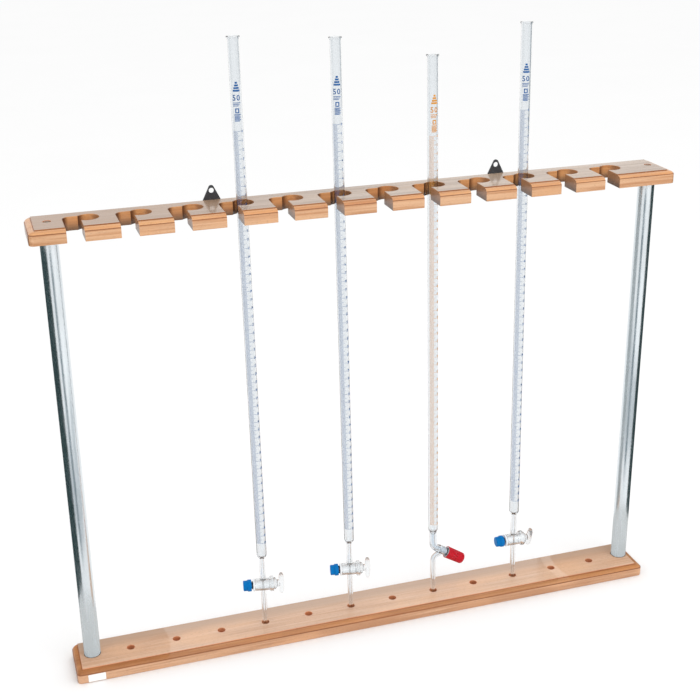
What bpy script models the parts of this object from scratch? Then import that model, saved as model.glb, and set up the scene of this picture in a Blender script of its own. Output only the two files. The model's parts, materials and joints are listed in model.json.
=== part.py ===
"""Wooden burette stand with four burettes, in metres, +Z up, front towards -Y."""

import math

import bmesh
import bpy
from mathutils import Matrix, Vector

MM = 0.001

# Boards
PITCH = 60.0 * MM
PLACES = 12
BOARD_LENGTH = 800.0 * MM
BOARD_THICK = 16.5 * MM
BOARD_GAP = 560.0 * MM
HOLE_LINE_Y = 1.925 * MM
FRONT_Y = HOLE_LINE_Y - 35.7 * MM
BACK_Y = HOLE_LINE_Y + 30.3 * MM
MOULD_WIDTH = 7.7 * MM
MOULD_HEIGHT = 4.1 * MM
MOULD_QUIRK = 0.8 * MM
MOULD_STEP = 1.1 * MM
CORNER_R = 6.0 * MM
CORNER_SHRINK = 0.7
CORNER_MIN_R = 0.4 * MM
ARRIS = 0.6 * MM
ROW_X = 3.0 * MM
CLEAR = 1.0 * MM

# Tip holes in the base board
TIP_HOLE_R = 5.0 * MM
TIP_HOLE_DEPTH = 10.0 * MM
DRILL_POINT = 3.0 * MM
DRILL_TIP_R = 0.2 * MM

# Slots in the top board, measured from the tip hole of the same place
NOTCH_LEFT = -31.6 * MM
NOTCH_RIGHT = -11.6 * MM
NOTCH_BACK = 13.8 * MM
NOTCH_FILLET = 8.0 * MM
SEAT_R = 13.0 * MM
SEAT_X = -3.5 * MM
SEAT_Y = 6.0 * MM

# Posts and the screws that hold the boards to them
POST_X = 379.0 * MM
POST_EDGE = 0.5 * MM
POST_Y = HOLE_LINE_Y + 2.9 * MM
POST_R = 10.5 * MM
POST_WALL = 2.0 * MM
SOCKET_DEPTH = 4.0 * MM
GAP = 0.3 * MM
PLUG_LENGTH = 22.0 * MM
SCREW_R = 2.5 * MM
SCREW_HOLE_R = 2.9 * MM
SCREW_HEAD_R = 3.8 * MM
SCREW_HEAD_H = 2.6 * MM
SCREW_EDGE = 0.4 * MM
SCREW_POINT = 1.0 * MM
SCREW_POINT_R = 1.9 * MM
DRIVER_SLOT_HALF = 0.6 * MM
DRIVER_SLOT_DEPTH = 1.2 * MM
SCREW_LENGTH = 26.0 * MM
RECESS_R = 4.6 * MM
RECESS_DEPTH = 3.2 * MM

# Hanging plates on the back edge of the top board
HANGER_X = 182.0 * MM
HANGER_HALF = 10.6 * MM
HANGER_RISE = 17.3 * MM
HANGER_DROP = 14.0 * MM
HANGER_THICK = 1.8 * MM
HANGER_TOP_R = 3.5 * MM
HANGER_EYE_R = 3.05 * MM
HANGER_EYE_Z = 11.0 * MM
HANGER_SCREW_X = 5.5 * MM
HANGER_SCREW_Z = -8.0 * MM
WOOD_SCREW_R = 1.5 * MM
WOOD_SCREW_HOLE_R = 1.8 * MM
WOOD_SCREW_HEAD_R = 2.8 * MM
WOOD_SCREW_HEAD_H = 1.3 * MM
WOOD_SCREW_LENGTH = 12.0 * MM
WOOD_SCREW_POINT = 3.0 * MM
WOOD_SCREW_TIP_R = 0.5 * MM
PILOT_DEPTH = 12.5 * MM

# Blank label on the front edge of the base board
LABEL_X = -375.5 * MM
LABEL_WIDTH = 22.0 * MM
LABEL_HEIGHT = 10.4 * MM
LABEL_THICK = 0.25 * MM
LABEL_LOW = 1.0 * MM

# Burettes: each stands in a tip hole and leans back into its seat
TIP_CLEAR = 0.6 * MM
LEAN_BACK = 12.0 * MM
TUBE_R = 6.5 * MM
TUBE_BORE_R = 5.45 * MM
STEM_R = 4.0 * MM
STEM_BORE_R = 1.5 * MM
JET_R = 3.6 * MM
JET_BORE_R = 1.1 * MM
JET_TIP_R = 1.9 * MM
JET_TIP_BORE_R = 0.8 * MM
JET_TAPER = 22.0 * MM
RIM_R = 7.9 * MM
RIM_THICK = 1.5 * MM
RIM_FLARE = 1.4 * MM
RIM_EDGE = 0.5 * MM
MOUTH_DEPTH = 1.2 * MM
COCK_Z = 67.0 * MM
STEM_START = 3.0 * MM
BORE_START = 2.0 * MM
SHOULDER_LOW = 105.5 * MM
SHOULDER_HIGH = 112.0 * MM

# Straight-bore stopcock
BARREL_LEFT = -11.0 * MM
BARREL_RIGHT = 13.6 * MM
BARREL_R = 8.0 * MM
COLLAR_R = 10.2 * MM
COLLAR_LEFT = 9.2 * MM
COLLAR_FLARE = 1.2 * MM
BARREL_EDGE = 0.8 * MM
PLUG_SMALL_R = 5.5 * MM
PLUG_LARGE_R = 6.8 * MM
KEY_GAP = 0.3 * MM
TAIL_R = 3.0 * MM
TAIL_END = -23.6 * MM
FLANGE_R = 8.0 * MM
FLANGE_BACK_R = 7.4 * MM
FLANGE_THICK = 2.6 * MM
NECK_R = 4.4 * MM
HANDLE_X = 24.0 * MM
HANDLE_HALF_X = 3.8 * MM
HANDLE_HALF_Y = 5.0 * MM
HANDLE_HALF_Z = 14.5 * MM
CROSS_BORE_HALF = 9.0 * MM
WASHER_R = 8.3 * MM
WASHER_THICK = 2.1 * MM
SEAL_R = 4.5 * MM
SEAL_THICK_R = 0.8 * MM
SEAL_OFFSET = 3.55 * MM
NUT_OFFSET = 4.7 * MM
NUT_LENGTH = 10.9 * MM
NUT_GRIP_LENGTH = 5.4 * MM
NUT_GRIP_R = 7.9 * MM
NUT_R = 6.9 * MM
NUT_EDGE = 0.8 * MM

# Angled needle valve
VALVE_BEND_Z = 84.0 * MM
VALVE_BEND_R = 10.0 * MM
VALVE_DROP = math.radians(32.0)
VALVE_SHOULDER_LOW = 99.5 * MM
VALVE_SHOULDER_HIGH = 106.0 * MM
VALVE_NECK_R = 4.8 * MM
VALVE_BODY_R = 5.7 * MM
VALVE_CHAMBER_R = 4.0 * MM
VALVE_CHAMBER_START = 7.0 * MM
VALVE_BODY_END = 27.0 * MM
VALVE_BORE_R = 2.0 * MM
VALVE_TUBE_BORE_R = 2.6 * MM
OUTLET_BEND_Z = 57.0 * MM
OUTLET_BEND_R = 8.0 * MM
OUTLET_JOIN = 11.0 * MM
OUTLET_LAP = 2.5 * MM
NEEDLE_R = 3.7 * MM
NEEDLE_WAIST_R = 2.9 * MM
NEEDLE_TIP_R = 1.0 * MM
NEEDLE_TIP = 1.2 * MM
NEEDLE_CONE = 1.4 * MM
NEEDLE_LAND = 6.6 * MM
NEEDLE_GROOVE = 8.3 * MM
NEEDLE_GROOVE_END = 10.4 * MM
NEEDLE_STEP = 0.3 * MM
NEEDLE_FLANGE_R = 5.4 * MM
NEEDLE_SEAL_R = 3.45 * MM
NEEDLE_SEAL_THICK_R = 0.42 * MM
CAP_R = 8.2 * MM
CAP_START = 17.0 * MM
CAP_LENGTH = 27.0 * MM
CAP_BORE_R = 7.2 * MM
CAP_BORE_DEPTH = 15.0 * MM
CAP_TAPER = 0.5 * MM
CAP_CROWN = 1.6 * MM
CAP_CROWN_R = 2.4 * MM
LINER_R = 6.9 * MM
LINER_BORE_R = 6.1 * MM
LINER_LENGTH = 10.5 * MM
LINER_INSET = 0.2 * MM

BURETTES = (
    {"place": 4, "length": 776.0 * MM, "lean": -3.0 * MM, "turn": -9.5, "key": 0.0, "valve": "cock"},
    {"place": 6, "length": 768.5 * MM, "lean": -3.0 * MM, "turn": -11.0, "key": 0.0, "valve": "cock"},
    {"place": 8, "length": 741.5 * MM, "lean": -3.0 * MM, "turn": -3.0, "key": 0.0, "valve": "needle"},
    {"place": 10, "length": 773.0 * MM, "lean": -2.0 * MM, "turn": -1.0, "key": 18.0, "valve": "cock"},
)

BEECH = (0.62, 0.40, 0.23)
ALUMINIUM = (0.72, 0.73, 0.75)
BLACK_STEEL = (0.05, 0.05, 0.055)
ZINC = (0.55, 0.55, 0.56)
WHITE = (0.90, 0.90, 0.89)
GLASS = (0.86, 0.92, 0.93)
BLUE = (0.02, 0.17, 0.60)
RED = (0.62, 0.02, 0.04)
RUBBER = (0.02, 0.02, 0.02)

BASE_TOP = BOARD_THICK
TOP_LOW = BASE_TOP + BOARD_GAP
TOP_HIGH = TOP_LOW + BOARD_THICK

for old in list(bpy.data.objects):
    bpy.data.objects.remove(old, do_unlink=True)


def material(name, color, metallic=0.0, roughness=0.4, alpha=1.0):
    made = bpy.data.materials.new(name)
    made.use_nodes = True
    shader = made.node_tree.nodes["Principled BSDF"]
    shader.inputs["Base Color"].default_value = (*color, 1.0)
    shader.inputs["Metallic"].default_value = metallic
    shader.inputs["Roughness"].default_value = roughness
    shader.inputs["Alpha"].default_value = alpha
    made.diffuse_color = (*color, alpha)
    return made


def object_of(name, bm, matrix=None, smooth_above=None):
    """A new object from a bmesh; edges flatter than smooth_above degrees are shaded smooth."""
    bmesh.ops.recalc_face_normals(bm, faces=bm.faces)
    mesh = bpy.data.meshes.new(name)
    bm.to_mesh(mesh)
    bm.free()
    if smooth_above is not None:
        mesh.shade_smooth()
        mesh.set_sharp_from_angle(angle=math.radians(smooth_above))
    made = bpy.data.objects.new(name, mesh)
    bpy.context.scene.collection.objects.link(made)
    if matrix is not None:
        made.matrix_world = matrix
    return made


def piece(name, bm, color, matrix=None, smooth_above=40.0, **looks):
    made = object_of(name, bm, matrix, smooth_above)
    made.data.materials.append(material(name, color, **looks))
    return made


def boolean(body, name, bm, operation="DIFFERENCE", matrix=None):
    """Cuts or joins a helper shape; the helper is never rendered."""
    helper = object_of(name, bm, matrix)
    helper.hide_render = True
    helper.display_type = "WIRE"
    modifier = body.modifiers.new(name, "BOOLEAN")
    modifier.operation = operation
    modifier.solver = "EXACT"
    modifier.object = helper


def ring(bm, points):
    return [bm.verts.new(p) for p in points]


def bridge(bm, low, high):
    count = len(low)
    for i in range(count):
        j = (i + 1) % count
        bm.faces.new((low[i], low[j], high[j], high[i]))


def stack(bm, loops):
    """A closed solid from loops of points, with flat ends."""
    rings = [ring(bm, points) for points in loops]
    for low, high in zip(rings, rings[1:]):
        bridge(bm, low, high)
    bm.faces.new(rings[0])
    bm.faces.new(rings[-1])
    return bm


def circle(radius, segments):
    angles = [2.0 * math.pi * i / segments for i in range(segments)]
    return [(radius * math.cos(a), radius * math.sin(a)) for a in angles]


def lathe(bm, profile, axis="Z", segments=16, centre=(0.0, 0.0, 0.0)):
    """A solid of revolution from (radius, height) pairs, flat at both ends."""
    loops = []
    for radius, height in profile:
        if axis == "Z":
            loop = [Vector((x, y, height)) for x, y in circle(radius, segments)]
        elif axis == "X":
            loop = [Vector((height, x, y)) for x, y in circle(radius, segments)]
        else:
            loop = [Vector((x, height, y)) for x, y in circle(radius, segments)]
        loops.append([p + Vector(centre) for p in loop])
    return stack(bm, loops)


def sweep(bm, path, radius, segments=12):
    """A round bar along a path that stays in the XZ plane."""
    loops = []
    side = Vector((0.0, 1.0, 0.0))
    for i, point in enumerate(path):
        before = path[max(i - 1, 0)]
        after = path[min(i + 1, len(path) - 1)]
        along = (after - before).normalized()
        up = along.cross(side)
        loops.append([point + side * x + up * y for x, y in circle(radius, segments)])
    return stack(bm, loops)


def prism(bm, outline, low, high, plane="XY"):
    """A straight-sided solid from a flat outline."""
    loops = []
    for level in (low, high):
        if plane == "XY":
            loops.append([Vector((u, v, level)) for u, v in outline])
        else:
            loops.append([Vector((u, level, v)) for u, v in outline])
    return stack(bm, loops)


def box(bm, low, high):
    outline = ((low[0], low[1]), (high[0], low[1]), (high[0], high[1]), (low[0], high[1]))
    return prism(bm, outline, low[2], high[2])


def arc(cx, cy, radius, start, end, steps):
    angles = [math.radians(start + (end - start) * i / steps) for i in range(steps + 1)]
    return [(cx + radius * math.cos(a), cy + radius * math.sin(a)) for a in angles]


def place_x(place):
    """X of a place, numbered 1 to PLACES from the left."""
    return ROW_X + (place - 0.5 * (PLACES + 1)) * PITCH


# Boards


def board_loop(inset, height):
    """The board's outline at one height, moulded on the front and both ends but not at the back."""
    half = 0.5 * BOARD_LENGTH - inset
    front = FRONT_Y + inset
    radius = max(CORNER_R - CORNER_SHRINK * inset, CORNER_MIN_R)
    points = arc(half - radius, BACK_Y - radius, radius, 0.0, 90.0, 3)
    points += arc(-half + radius, BACK_Y - radius, radius, 90.0, 180.0, 3)
    points += arc(-half + radius, front + radius, radius, 180.0, 270.0, 3)
    points += arc(half - radius, front + radius, radius, 270.0, 360.0, 3)
    return [Vector((x, y, height)) for x, y in points]


def board_solid(low):
    """A board with an ovolo moulding between two quirks along its top edge."""
    face_top = BOARD_THICK - MOULD_HEIGHT
    ovolo_wide = MOULD_WIDTH - 2.0 * MOULD_QUIRK
    ovolo_high = MOULD_HEIGHT - MOULD_STEP
    slope = 0.1 * MM
    profile = [(ARRIS, 0.0), (0.0, ARRIS), (0.0, face_top - slope)]
    for i in range(4):
        angle = math.radians(30.0 * i)
        inset = MOULD_QUIRK + ovolo_wide * (1.0 - math.cos(angle))
        profile.append((inset, face_top + ovolo_high * math.sin(angle)))
    profile.append((MOULD_WIDTH, face_top + ovolo_high + slope))
    profile.append((MOULD_WIDTH, BOARD_THICK))
    return stack(bmesh.new(), [board_loop(inset, low + height) for inset, height in profile])


def tip_hole_cutters():
    bm = bmesh.new()
    bottom = BASE_TOP - TIP_HOLE_DEPTH
    for place in range(1, PLACES + 1):
        profile = (
            (DRILL_TIP_R, bottom - DRILL_POINT),
            (TIP_HOLE_R, bottom),
            (TIP_HOLE_R, BASE_TOP + CLEAR),
        )
        lathe(bm, profile, segments=12, centre=(place_x(place), HOLE_LINE_Y, 0.0))
    return bm


def notch_cutters():
    bm = bmesh.new()
    for place in range(1, PLACES + 1):
        x = place_x(place)
        left = x + NOTCH_LEFT
        right = x + NOTCH_RIGHT
        back = HOLE_LINE_Y + NOTCH_BACK
        outline = [(left, FRONT_Y - CLEAR), (right, FRONT_Y - CLEAR), (right, back)]
        outline += arc(left + NOTCH_FILLET, back - NOTCH_FILLET, NOTCH_FILLET, 90.0, 180.0, 5)
        prism(bm, outline, TOP_LOW - CLEAR, TOP_HIGH + CLEAR)
    return bm


def seat_cutters():
    bm = bmesh.new()
    profile = ((SEAT_R, TOP_LOW - CLEAR), (SEAT_R, TOP_HIGH + CLEAR))
    for place in range(1, PLACES + 1):
        centre = (place_x(place) + SEAT_X, HOLE_LINE_Y + SEAT_Y, 0.0)
        lathe(bm, profile, segments=20, centre=centre)
    return bm


def post_cutters(low, socket_up):
    """For each post: the socket it stands in, a through hole and a recess for the screw head."""
    bm = bmesh.new()
    high = low + BOARD_THICK
    socket_r = POST_R + GAP
    if socket_up:
        profile = (
            (RECESS_R, low - CLEAR),
            (RECESS_R, low + RECESS_DEPTH),
            (SCREW_HOLE_R, low + RECESS_DEPTH),
            (SCREW_HOLE_R, high - SOCKET_DEPTH),
            (socket_r, high - SOCKET_DEPTH),
            (socket_r, high + CLEAR),
        )
    else:
        profile = (
            (socket_r, low - CLEAR),
            (socket_r, low + SOCKET_DEPTH),
            (SCREW_HOLE_R, low + SOCKET_DEPTH),
            (SCREW_HOLE_R, high - RECESS_DEPTH),
            (RECESS_R, high - RECESS_DEPTH),
            (RECESS_R, high + CLEAR),
        )
    for x in (ROW_X - POST_X, ROW_X + POST_X):
        lathe(bm, profile, segments=20, centre=(x, POST_Y, 0.0))
    return bm


def hanger_pilot_cutters():
    bm = bmesh.new()
    profile = ((WOOD_SCREW_HOLE_R, BACK_Y - PILOT_DEPTH), (WOOD_SCREW_HOLE_R, BACK_Y + CLEAR))
    for x in (-HANGER_X, HANGER_X):
        for offset in (-HANGER_SCREW_X, HANGER_SCREW_X):
            centre = (x + offset, 0.0, TOP_HIGH + HANGER_SCREW_Z)
            lathe(bm, profile, axis="Y", segments=8, centre=centre)
    return bm


base_board = piece("base_board", board_solid(0.0), BEECH, smooth_above=20.0, roughness=0.25)
boolean(base_board, "cut_tip_holes", tip_hole_cutters())
boolean(base_board, "cut_base_posts", post_cutters(0.0, True))

top_board = piece("top_board", board_solid(TOP_LOW), BEECH, smooth_above=20.0, roughness=0.25)
boolean(top_board, "cut_notches", notch_cutters())
boolean(top_board, "cut_seats", seat_cutters())
boolean(top_board, "cut_top_posts", post_cutters(TOP_LOW, False))
boolean(top_board, "cut_hanger_pilots", hanger_pilot_cutters())


# Posts


def post(name, x):
    low = BASE_TOP - SOCKET_DEPTH + GAP
    high = TOP_LOW + SOCKET_DEPTH - GAP
    centre = (x, POST_Y, 0.0)
    outer = (
        (POST_R - POST_EDGE, low),
        (POST_R, low + POST_EDGE),
        (POST_R, high - POST_EDGE),
        (POST_R - POST_EDGE, high),
    )
    body = lathe(bmesh.new(), outer, segments=24, centre=centre)
    tube = piece(name, body, ALUMINIUM, metallic=1.0, roughness=0.3)
    bore_r = POST_R - POST_WALL
    bore = ((bore_r, low - CLEAR), (bore_r, high + CLEAR))
    boolean(tube, "cut_" + name, lathe(bmesh.new(), bore, segments=20, centre=centre))


def post_plug(name, x, low):
    """A tapped plug pressed into one end of a post."""
    centre = (x, POST_Y, 0.0)
    radius = POST_R - POST_WALL - GAP
    body = lathe(bmesh.new(), ((radius, low), (radius, low + PLUG_LENGTH)), segments=16, centre=centre)
    plug = piece(name, body, ALUMINIUM, metallic=1.0, roughness=0.45)
    thread_r = SCREW_R + GAP
    hole = ((thread_r, low - CLEAR), (thread_r, low + PLUG_LENGTH + CLEAR))
    boolean(plug, "cut_" + name, lathe(bmesh.new(), hole, segments=8, centre=centre))


def post_screw(name, x, seat, direction):
    """A slotted cheese-head screw: its head rests at height seat and its shank runs along direction."""
    centre = (x, POST_Y, 0.0)
    steps = (
        (SCREW_HEAD_R - SCREW_EDGE, -SCREW_HEAD_H),
        (SCREW_HEAD_R, SCREW_EDGE - SCREW_HEAD_H),
        (SCREW_HEAD_R, 0.0),
        (SCREW_R, 0.0),
        (SCREW_R, SCREW_LENGTH - SCREW_POINT),
        (SCREW_POINT_R, SCREW_LENGTH),
    )
    profile = [(radius, seat + direction * along) for radius, along in steps]
    body = lathe(bmesh.new(), profile, segments=12, centre=centre)
    screw = piece(name, body, ZINC, metallic=1.0, roughness=0.35)
    outside = seat - direction * (SCREW_HEAD_H + CLEAR)
    floor = seat - direction * (SCREW_HEAD_H - DRIVER_SLOT_DEPTH)
    slot_low = (x - RECESS_R, POST_Y - DRIVER_SLOT_HALF, min(outside, floor))
    slot_high = (x + RECESS_R, POST_Y + DRIVER_SLOT_HALF, max(outside, floor))
    boolean(screw, "cut_" + name, box(bmesh.new(), slot_low, slot_high))


for side, x in (("left", ROW_X - POST_X), ("right", ROW_X + POST_X)):
    post("post_" + side, x)
    foot = BASE_TOP - SOCKET_DEPTH + GAP
    head = TOP_LOW + SOCKET_DEPTH - GAP - PLUG_LENGTH
    post_plug("post_plug_low_" + side, x, foot)
    post_plug("post_plug_high_" + side, x, head)
    post_screw("base_screw_" + side, x, RECESS_DEPTH - GAP, 1.0)
    post_screw("top_screw_" + side, x, TOP_HIGH - RECESS_DEPTH + GAP, -1.0)


# Hanging plates


def hanger_outline():
    """A triangle with a rounded top above the board and a straight tab behind it."""
    top_z = HANGER_RISE - HANGER_TOP_R
    lean = math.atan2(top_z, HANGER_HALF)
    reach = math.hypot(top_z, HANGER_HALF)
    start = math.degrees(lean + math.acos(HANGER_TOP_R / reach)) - 90.0
    points = [(-HANGER_HALF, -HANGER_DROP), (HANGER_HALF, -HANGER_DROP), (HANGER_HALF, 0.0)]
    points += arc(0.0, top_z, HANGER_TOP_R, start, 180.0 - start, 8)
    points.append((-HANGER_HALF, 0.0))
    return points


def hanger(name, x):
    near = BACK_Y + GAP
    far = near + HANGER_THICK
    outline = [(x + u, TOP_HIGH + v) for u, v in hanger_outline()]
    body = prism(bmesh.new(), outline, near, far, "XZ")
    plate = piece(name, body, BLACK_STEEL, metallic=0.6, roughness=0.45)
    eye = ((HANGER_EYE_R, near - CLEAR), (HANGER_EYE_R, far + CLEAR))
    centre = (x, 0.0, TOP_HIGH + HANGER_EYE_Z)
    cutters = lathe(bmesh.new(), eye, axis="Y", segments=16, centre=centre)
    sink = far - WOOD_SCREW_HEAD_H - GAP
    hole = (
        (WOOD_SCREW_HOLE_R, near - CLEAR),
        (WOOD_SCREW_HOLE_R, sink),
        (WOOD_SCREW_HEAD_R + GAP, far - 0.5 * GAP),
        (WOOD_SCREW_HEAD_R + GAP, far + CLEAR),
    )
    for offset in (-HANGER_SCREW_X, HANGER_SCREW_X):
        centre = (x + offset, 0.0, TOP_HIGH + HANGER_SCREW_Z)
        lathe(cutters, hole, axis="Y", segments=12, centre=centre)
    boolean(plate, "cut_" + name, cutters)


def hanger_screw(name, x):
    """A countersunk wood screw, a little below the hanging plate's back face."""
    head = BACK_Y + GAP + HANGER_THICK - 0.5 * GAP
    point = head - WOOD_SCREW_LENGTH
    profile = (
        (WOOD_SCREW_TIP_R, point),
        (WOOD_SCREW_R, point + WOOD_SCREW_POINT),
        (WOOD_SCREW_R, head - WOOD_SCREW_HEAD_H),
        (WOOD_SCREW_HEAD_R, head),
    )
    centre = (x, 0.0, TOP_HIGH + HANGER_SCREW_Z)
    body = lathe(bmesh.new(), profile, axis="Y", segments=12, centre=centre)
    piece(name, body, BLACK_STEEL, metallic=0.6, roughness=0.4)


for side, x in (("left", -HANGER_X), ("right", HANGER_X)):
    hanger("hanger_" + side, x)
    hanger_screw("hanger_screw_" + side + "_a", x - HANGER_SCREW_X)
    hanger_screw("hanger_screw_" + side + "_b", x + HANGER_SCREW_X)

label_low = (LABEL_X - 0.5 * LABEL_WIDTH, FRONT_Y - GAP - LABEL_THICK, LABEL_LOW)
label_high = (LABEL_X + 0.5 * LABEL_WIDTH, FRONT_Y - GAP, LABEL_LOW + LABEL_HEIGHT)
piece("blank_label", box(bmesh.new(), label_low, label_high), WHITE, smooth_above=None, roughness=0.5)


# Burettes


def burette_matrix(burette):
    """Local +Z runs up the tube from the jet tip, local +X towards the handle or the cap."""
    tip = Vector((place_x(burette["place"]), HOLE_LINE_Y, BASE_TOP - TIP_HOLE_DEPTH + TIP_CLEAR))
    rise = TOP_LOW + 0.5 * BOARD_THICK - tip.z
    along = Vector((burette["lean"], LEAN_BACK, rise)).normalized()
    lean = Vector((0.0, 0.0, 1.0)).rotation_difference(along).to_matrix().to_4x4()
    turn = Matrix.Rotation(math.radians(burette["turn"]), 4, "Z")
    return Matrix.Translation(tip) @ lean @ turn


def tube_top_profile(length, shoulder_low, shoulder_high, low_r):
    """The graduated tube from its lower shoulder to the beaded rim."""
    return [
        (low_r, shoulder_low),
        (low_r + 1.1 * MM, shoulder_low + 1.2 * MM),
        (TUBE_R - 0.5 * MM, shoulder_high - 1.8 * MM),
        (TUBE_R, shoulder_high),
        (TUBE_R, length - RIM_THICK - RIM_FLARE),
        (RIM_R - 0.6 * RIM_EDGE, length - RIM_THICK - 0.6 * RIM_EDGE),
        (RIM_R, length - RIM_THICK),
        (RIM_R, length - 0.8 * RIM_EDGE),
        (RIM_R - RIM_EDGE, length),
    ]


def tube_bore_profile(length, bore_low, shoulder_low, shoulder_high, low_r):
    return [
        (low_r, bore_low),
        (low_r, shoulder_low + 0.5 * MM),
        (TUBE_BORE_R - 0.6 * MM, shoulder_high - 1.5 * MM),
        (TUBE_BORE_R, shoulder_high + 0.8 * MM),
        (TUBE_BORE_R, length - MOUTH_DEPTH),
        (TUBE_BORE_R + RIM_EDGE, length + CLEAR),
    ]


def jet_profile(top):
    return [
        (JET_TIP_R, 0.0),
        (JET_TIP_R + 0.2 * MM, 0.5 * MM),
        (JET_R, JET_TAPER),
        (JET_R, top),
    ]


def jet_bore_profile(top):
    return [(JET_TIP_BORE_R, -CLEAR), (JET_BORE_R, JET_TAPER), (JET_BORE_R, top)]


def cock_tube(name, burette, matrix):
    """One glass piece: graduated tube, stem, cross barrel and jet."""
    length = burette["length"]
    stem = [(STEM_R, COCK_Z + STEM_START)]
    top = tube_top_profile(length, SHOULDER_LOW, SHOULDER_HIGH, STEM_R)
    tube = piece(name, lathe(bmesh.new(), stem + top), GLASS, matrix, roughness=0.02, alpha=0.35)
    jet = lathe(bmesh.new(), jet_profile(COCK_Z - STEM_START), segments=12)
    boolean(tube, "join_jet_" + name, jet, "UNION", matrix)
    barrel = (
        (BARREL_R - 0.5 * BARREL_EDGE, BARREL_LEFT),
        (BARREL_R, BARREL_LEFT + BARREL_EDGE),
        (BARREL_R, COLLAR_LEFT - COLLAR_FLARE),
        (COLLAR_R - 0.6 * BARREL_EDGE, COLLAR_LEFT),
        (COLLAR_R, COLLAR_LEFT + BARREL_EDGE),
        (COLLAR_R, BARREL_RIGHT - BARREL_EDGE),
        (COLLAR_R - BARREL_EDGE, BARREL_RIGHT),
    )
    cross = lathe(bmesh.new(), barrel, "X", 20, (0.0, 0.0, COCK_Z))
    boolean(tube, "join_barrel_" + name, cross, "UNION", matrix)
    bore = tube_bore_profile(length, COCK_Z + BORE_START, SHOULDER_LOW, SHOULDER_HIGH, STEM_BORE_R)
    boolean(tube, "cut_bore_" + name, lathe(bmesh.new(), bore, segments=16), matrix=matrix)
    jet_bore = lathe(bmesh.new(), jet_bore_profile(COCK_Z - BORE_START), segments=8)
    boolean(tube, "cut_jet_" + name, jet_bore, matrix=matrix)
    slope = (PLUG_LARGE_R - PLUG_SMALL_R) / (BARREL_RIGHT - BARREL_LEFT)
    seat = (
        (PLUG_SMALL_R + KEY_GAP - slope * CLEAR, BARREL_LEFT - CLEAR),
        (PLUG_LARGE_R + KEY_GAP + slope * CLEAR, BARREL_RIGHT + CLEAR),
    )
    taper = lathe(bmesh.new(), seat, "X", 20, (0.0, 0.0, COCK_Z))
    boolean(tube, "cut_seat_" + name, taper, matrix=matrix)


def cock_key(name, matrix):
    """The tapered glass plug with its threaded tail, neck and T handle, bored across."""
    profile = (
        (TAIL_R - 0.5 * MM, TAIL_END),
        (TAIL_R, TAIL_END + 0.8 * MM),
        (TAIL_R, BARREL_LEFT - 0.2 * MM),
        (PLUG_SMALL_R, BARREL_LEFT + 0.2 * MM),
        (PLUG_LARGE_R, BARREL_RIGHT),
        (PLUG_LARGE_R, BARREL_RIGHT + 0.4 * MM),
        (FLANGE_R, BARREL_RIGHT + 1.2 * MM),
        (FLANGE_BACK_R, BARREL_RIGHT + FLANGE_THICK),
        (NECK_R + 0.6 * MM, BARREL_RIGHT + 1.6 * FLANGE_THICK),
        (NECK_R, BARREL_RIGHT + 2.2 * FLANGE_THICK),
        (NECK_R, HANDLE_X - 1.0 * MM),
    )
    key = piece(name, lathe(bmesh.new(), profile, "X"), GLASS, matrix, roughness=0.02, alpha=0.35)
    steps = ((0.45, -1.0), (0.8, -0.93), (1.0, -0.78), (1.0, 0.78), (0.8, 0.93), (0.45, 1.0))
    bar = lathe(bmesh.new(), [(radius, HANDLE_HALF_Z * z) for radius, z in steps], segments=12)
    bar.transform(Matrix.Diagonal((HANDLE_HALF_X, HANDLE_HALF_Y, 1.0, 1.0)))
    bar.transform(Matrix.Translation((HANDLE_X, 0.0, 0.0)))
    boolean(key, "join_handle_" + name, bar, "UNION", matrix)
    cross = ((JET_BORE_R, -CROSS_BORE_HALF), (JET_BORE_R, CROSS_BORE_HALF))
    boolean(key, "cut_cross_" + name, lathe(bmesh.new(), cross, segments=8), matrix=matrix)


def washer(name, matrix):
    right = BARREL_LEFT - GAP
    left = right - WASHER_THICK
    profile = ((WASHER_R - 0.3 * MM, left), (WASHER_R, left + 0.3 * MM), (WASHER_R, right))
    disc = lathe(bmesh.new(), profile, "X")
    made = piece(name, disc, WHITE, matrix, roughness=0.4)
    hole_r = TAIL_R + GAP
    hole = lathe(bmesh.new(), ((hole_r, left - CLEAR), (hole_r, right + CLEAR)), "X", 10)
    boolean(made, "cut_" + name, hole, matrix=matrix)


def torus(bm, major, minor, centre, axis, segments=12, sides=6):
    """A closed ring around an axis through centre."""
    turn = Vector((0.0, 0.0, 1.0)).rotation_difference(axis).to_matrix()
    rings = []
    for i in range(segments):
        angle = 2.0 * math.pi * i / segments
        out = Vector((math.cos(angle), math.sin(angle), 0.0))
        points = []
        for u, v in circle(minor, sides):
            points.append(centre + turn @ (out * (major + u) + Vector((0.0, 0.0, v))))
        rings.append(ring(bm, points))
    for i in range(segments):
        bridge(bm, rings[i], rings[(i + 1) % segments])
    return bm


def nut(name, matrix):
    """A blue cap nut with a wider grip next to the washer."""
    right = BARREL_LEFT - NUT_OFFSET
    step = right - NUT_GRIP_LENGTH
    left = right - NUT_LENGTH
    profile = (
        (NUT_R - NUT_EDGE, left),
        (NUT_R, left + NUT_EDGE),
        (NUT_R, step),
        (NUT_GRIP_R, step + NUT_EDGE),
        (NUT_GRIP_R, right - NUT_EDGE),
        (NUT_GRIP_R - 0.5 * NUT_EDGE, right),
    )
    made = piece(name, lathe(bmesh.new(), profile, "X"), BLUE, matrix, roughness=0.35)
    hole_r = TAIL_R + GAP
    hole = lathe(bmesh.new(), ((hole_r, TAIL_END - 0.8 * MM), (hole_r, right + CLEAR)), "X", 10)
    boolean(made, "cut_" + name, hole, matrix=matrix)


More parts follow.
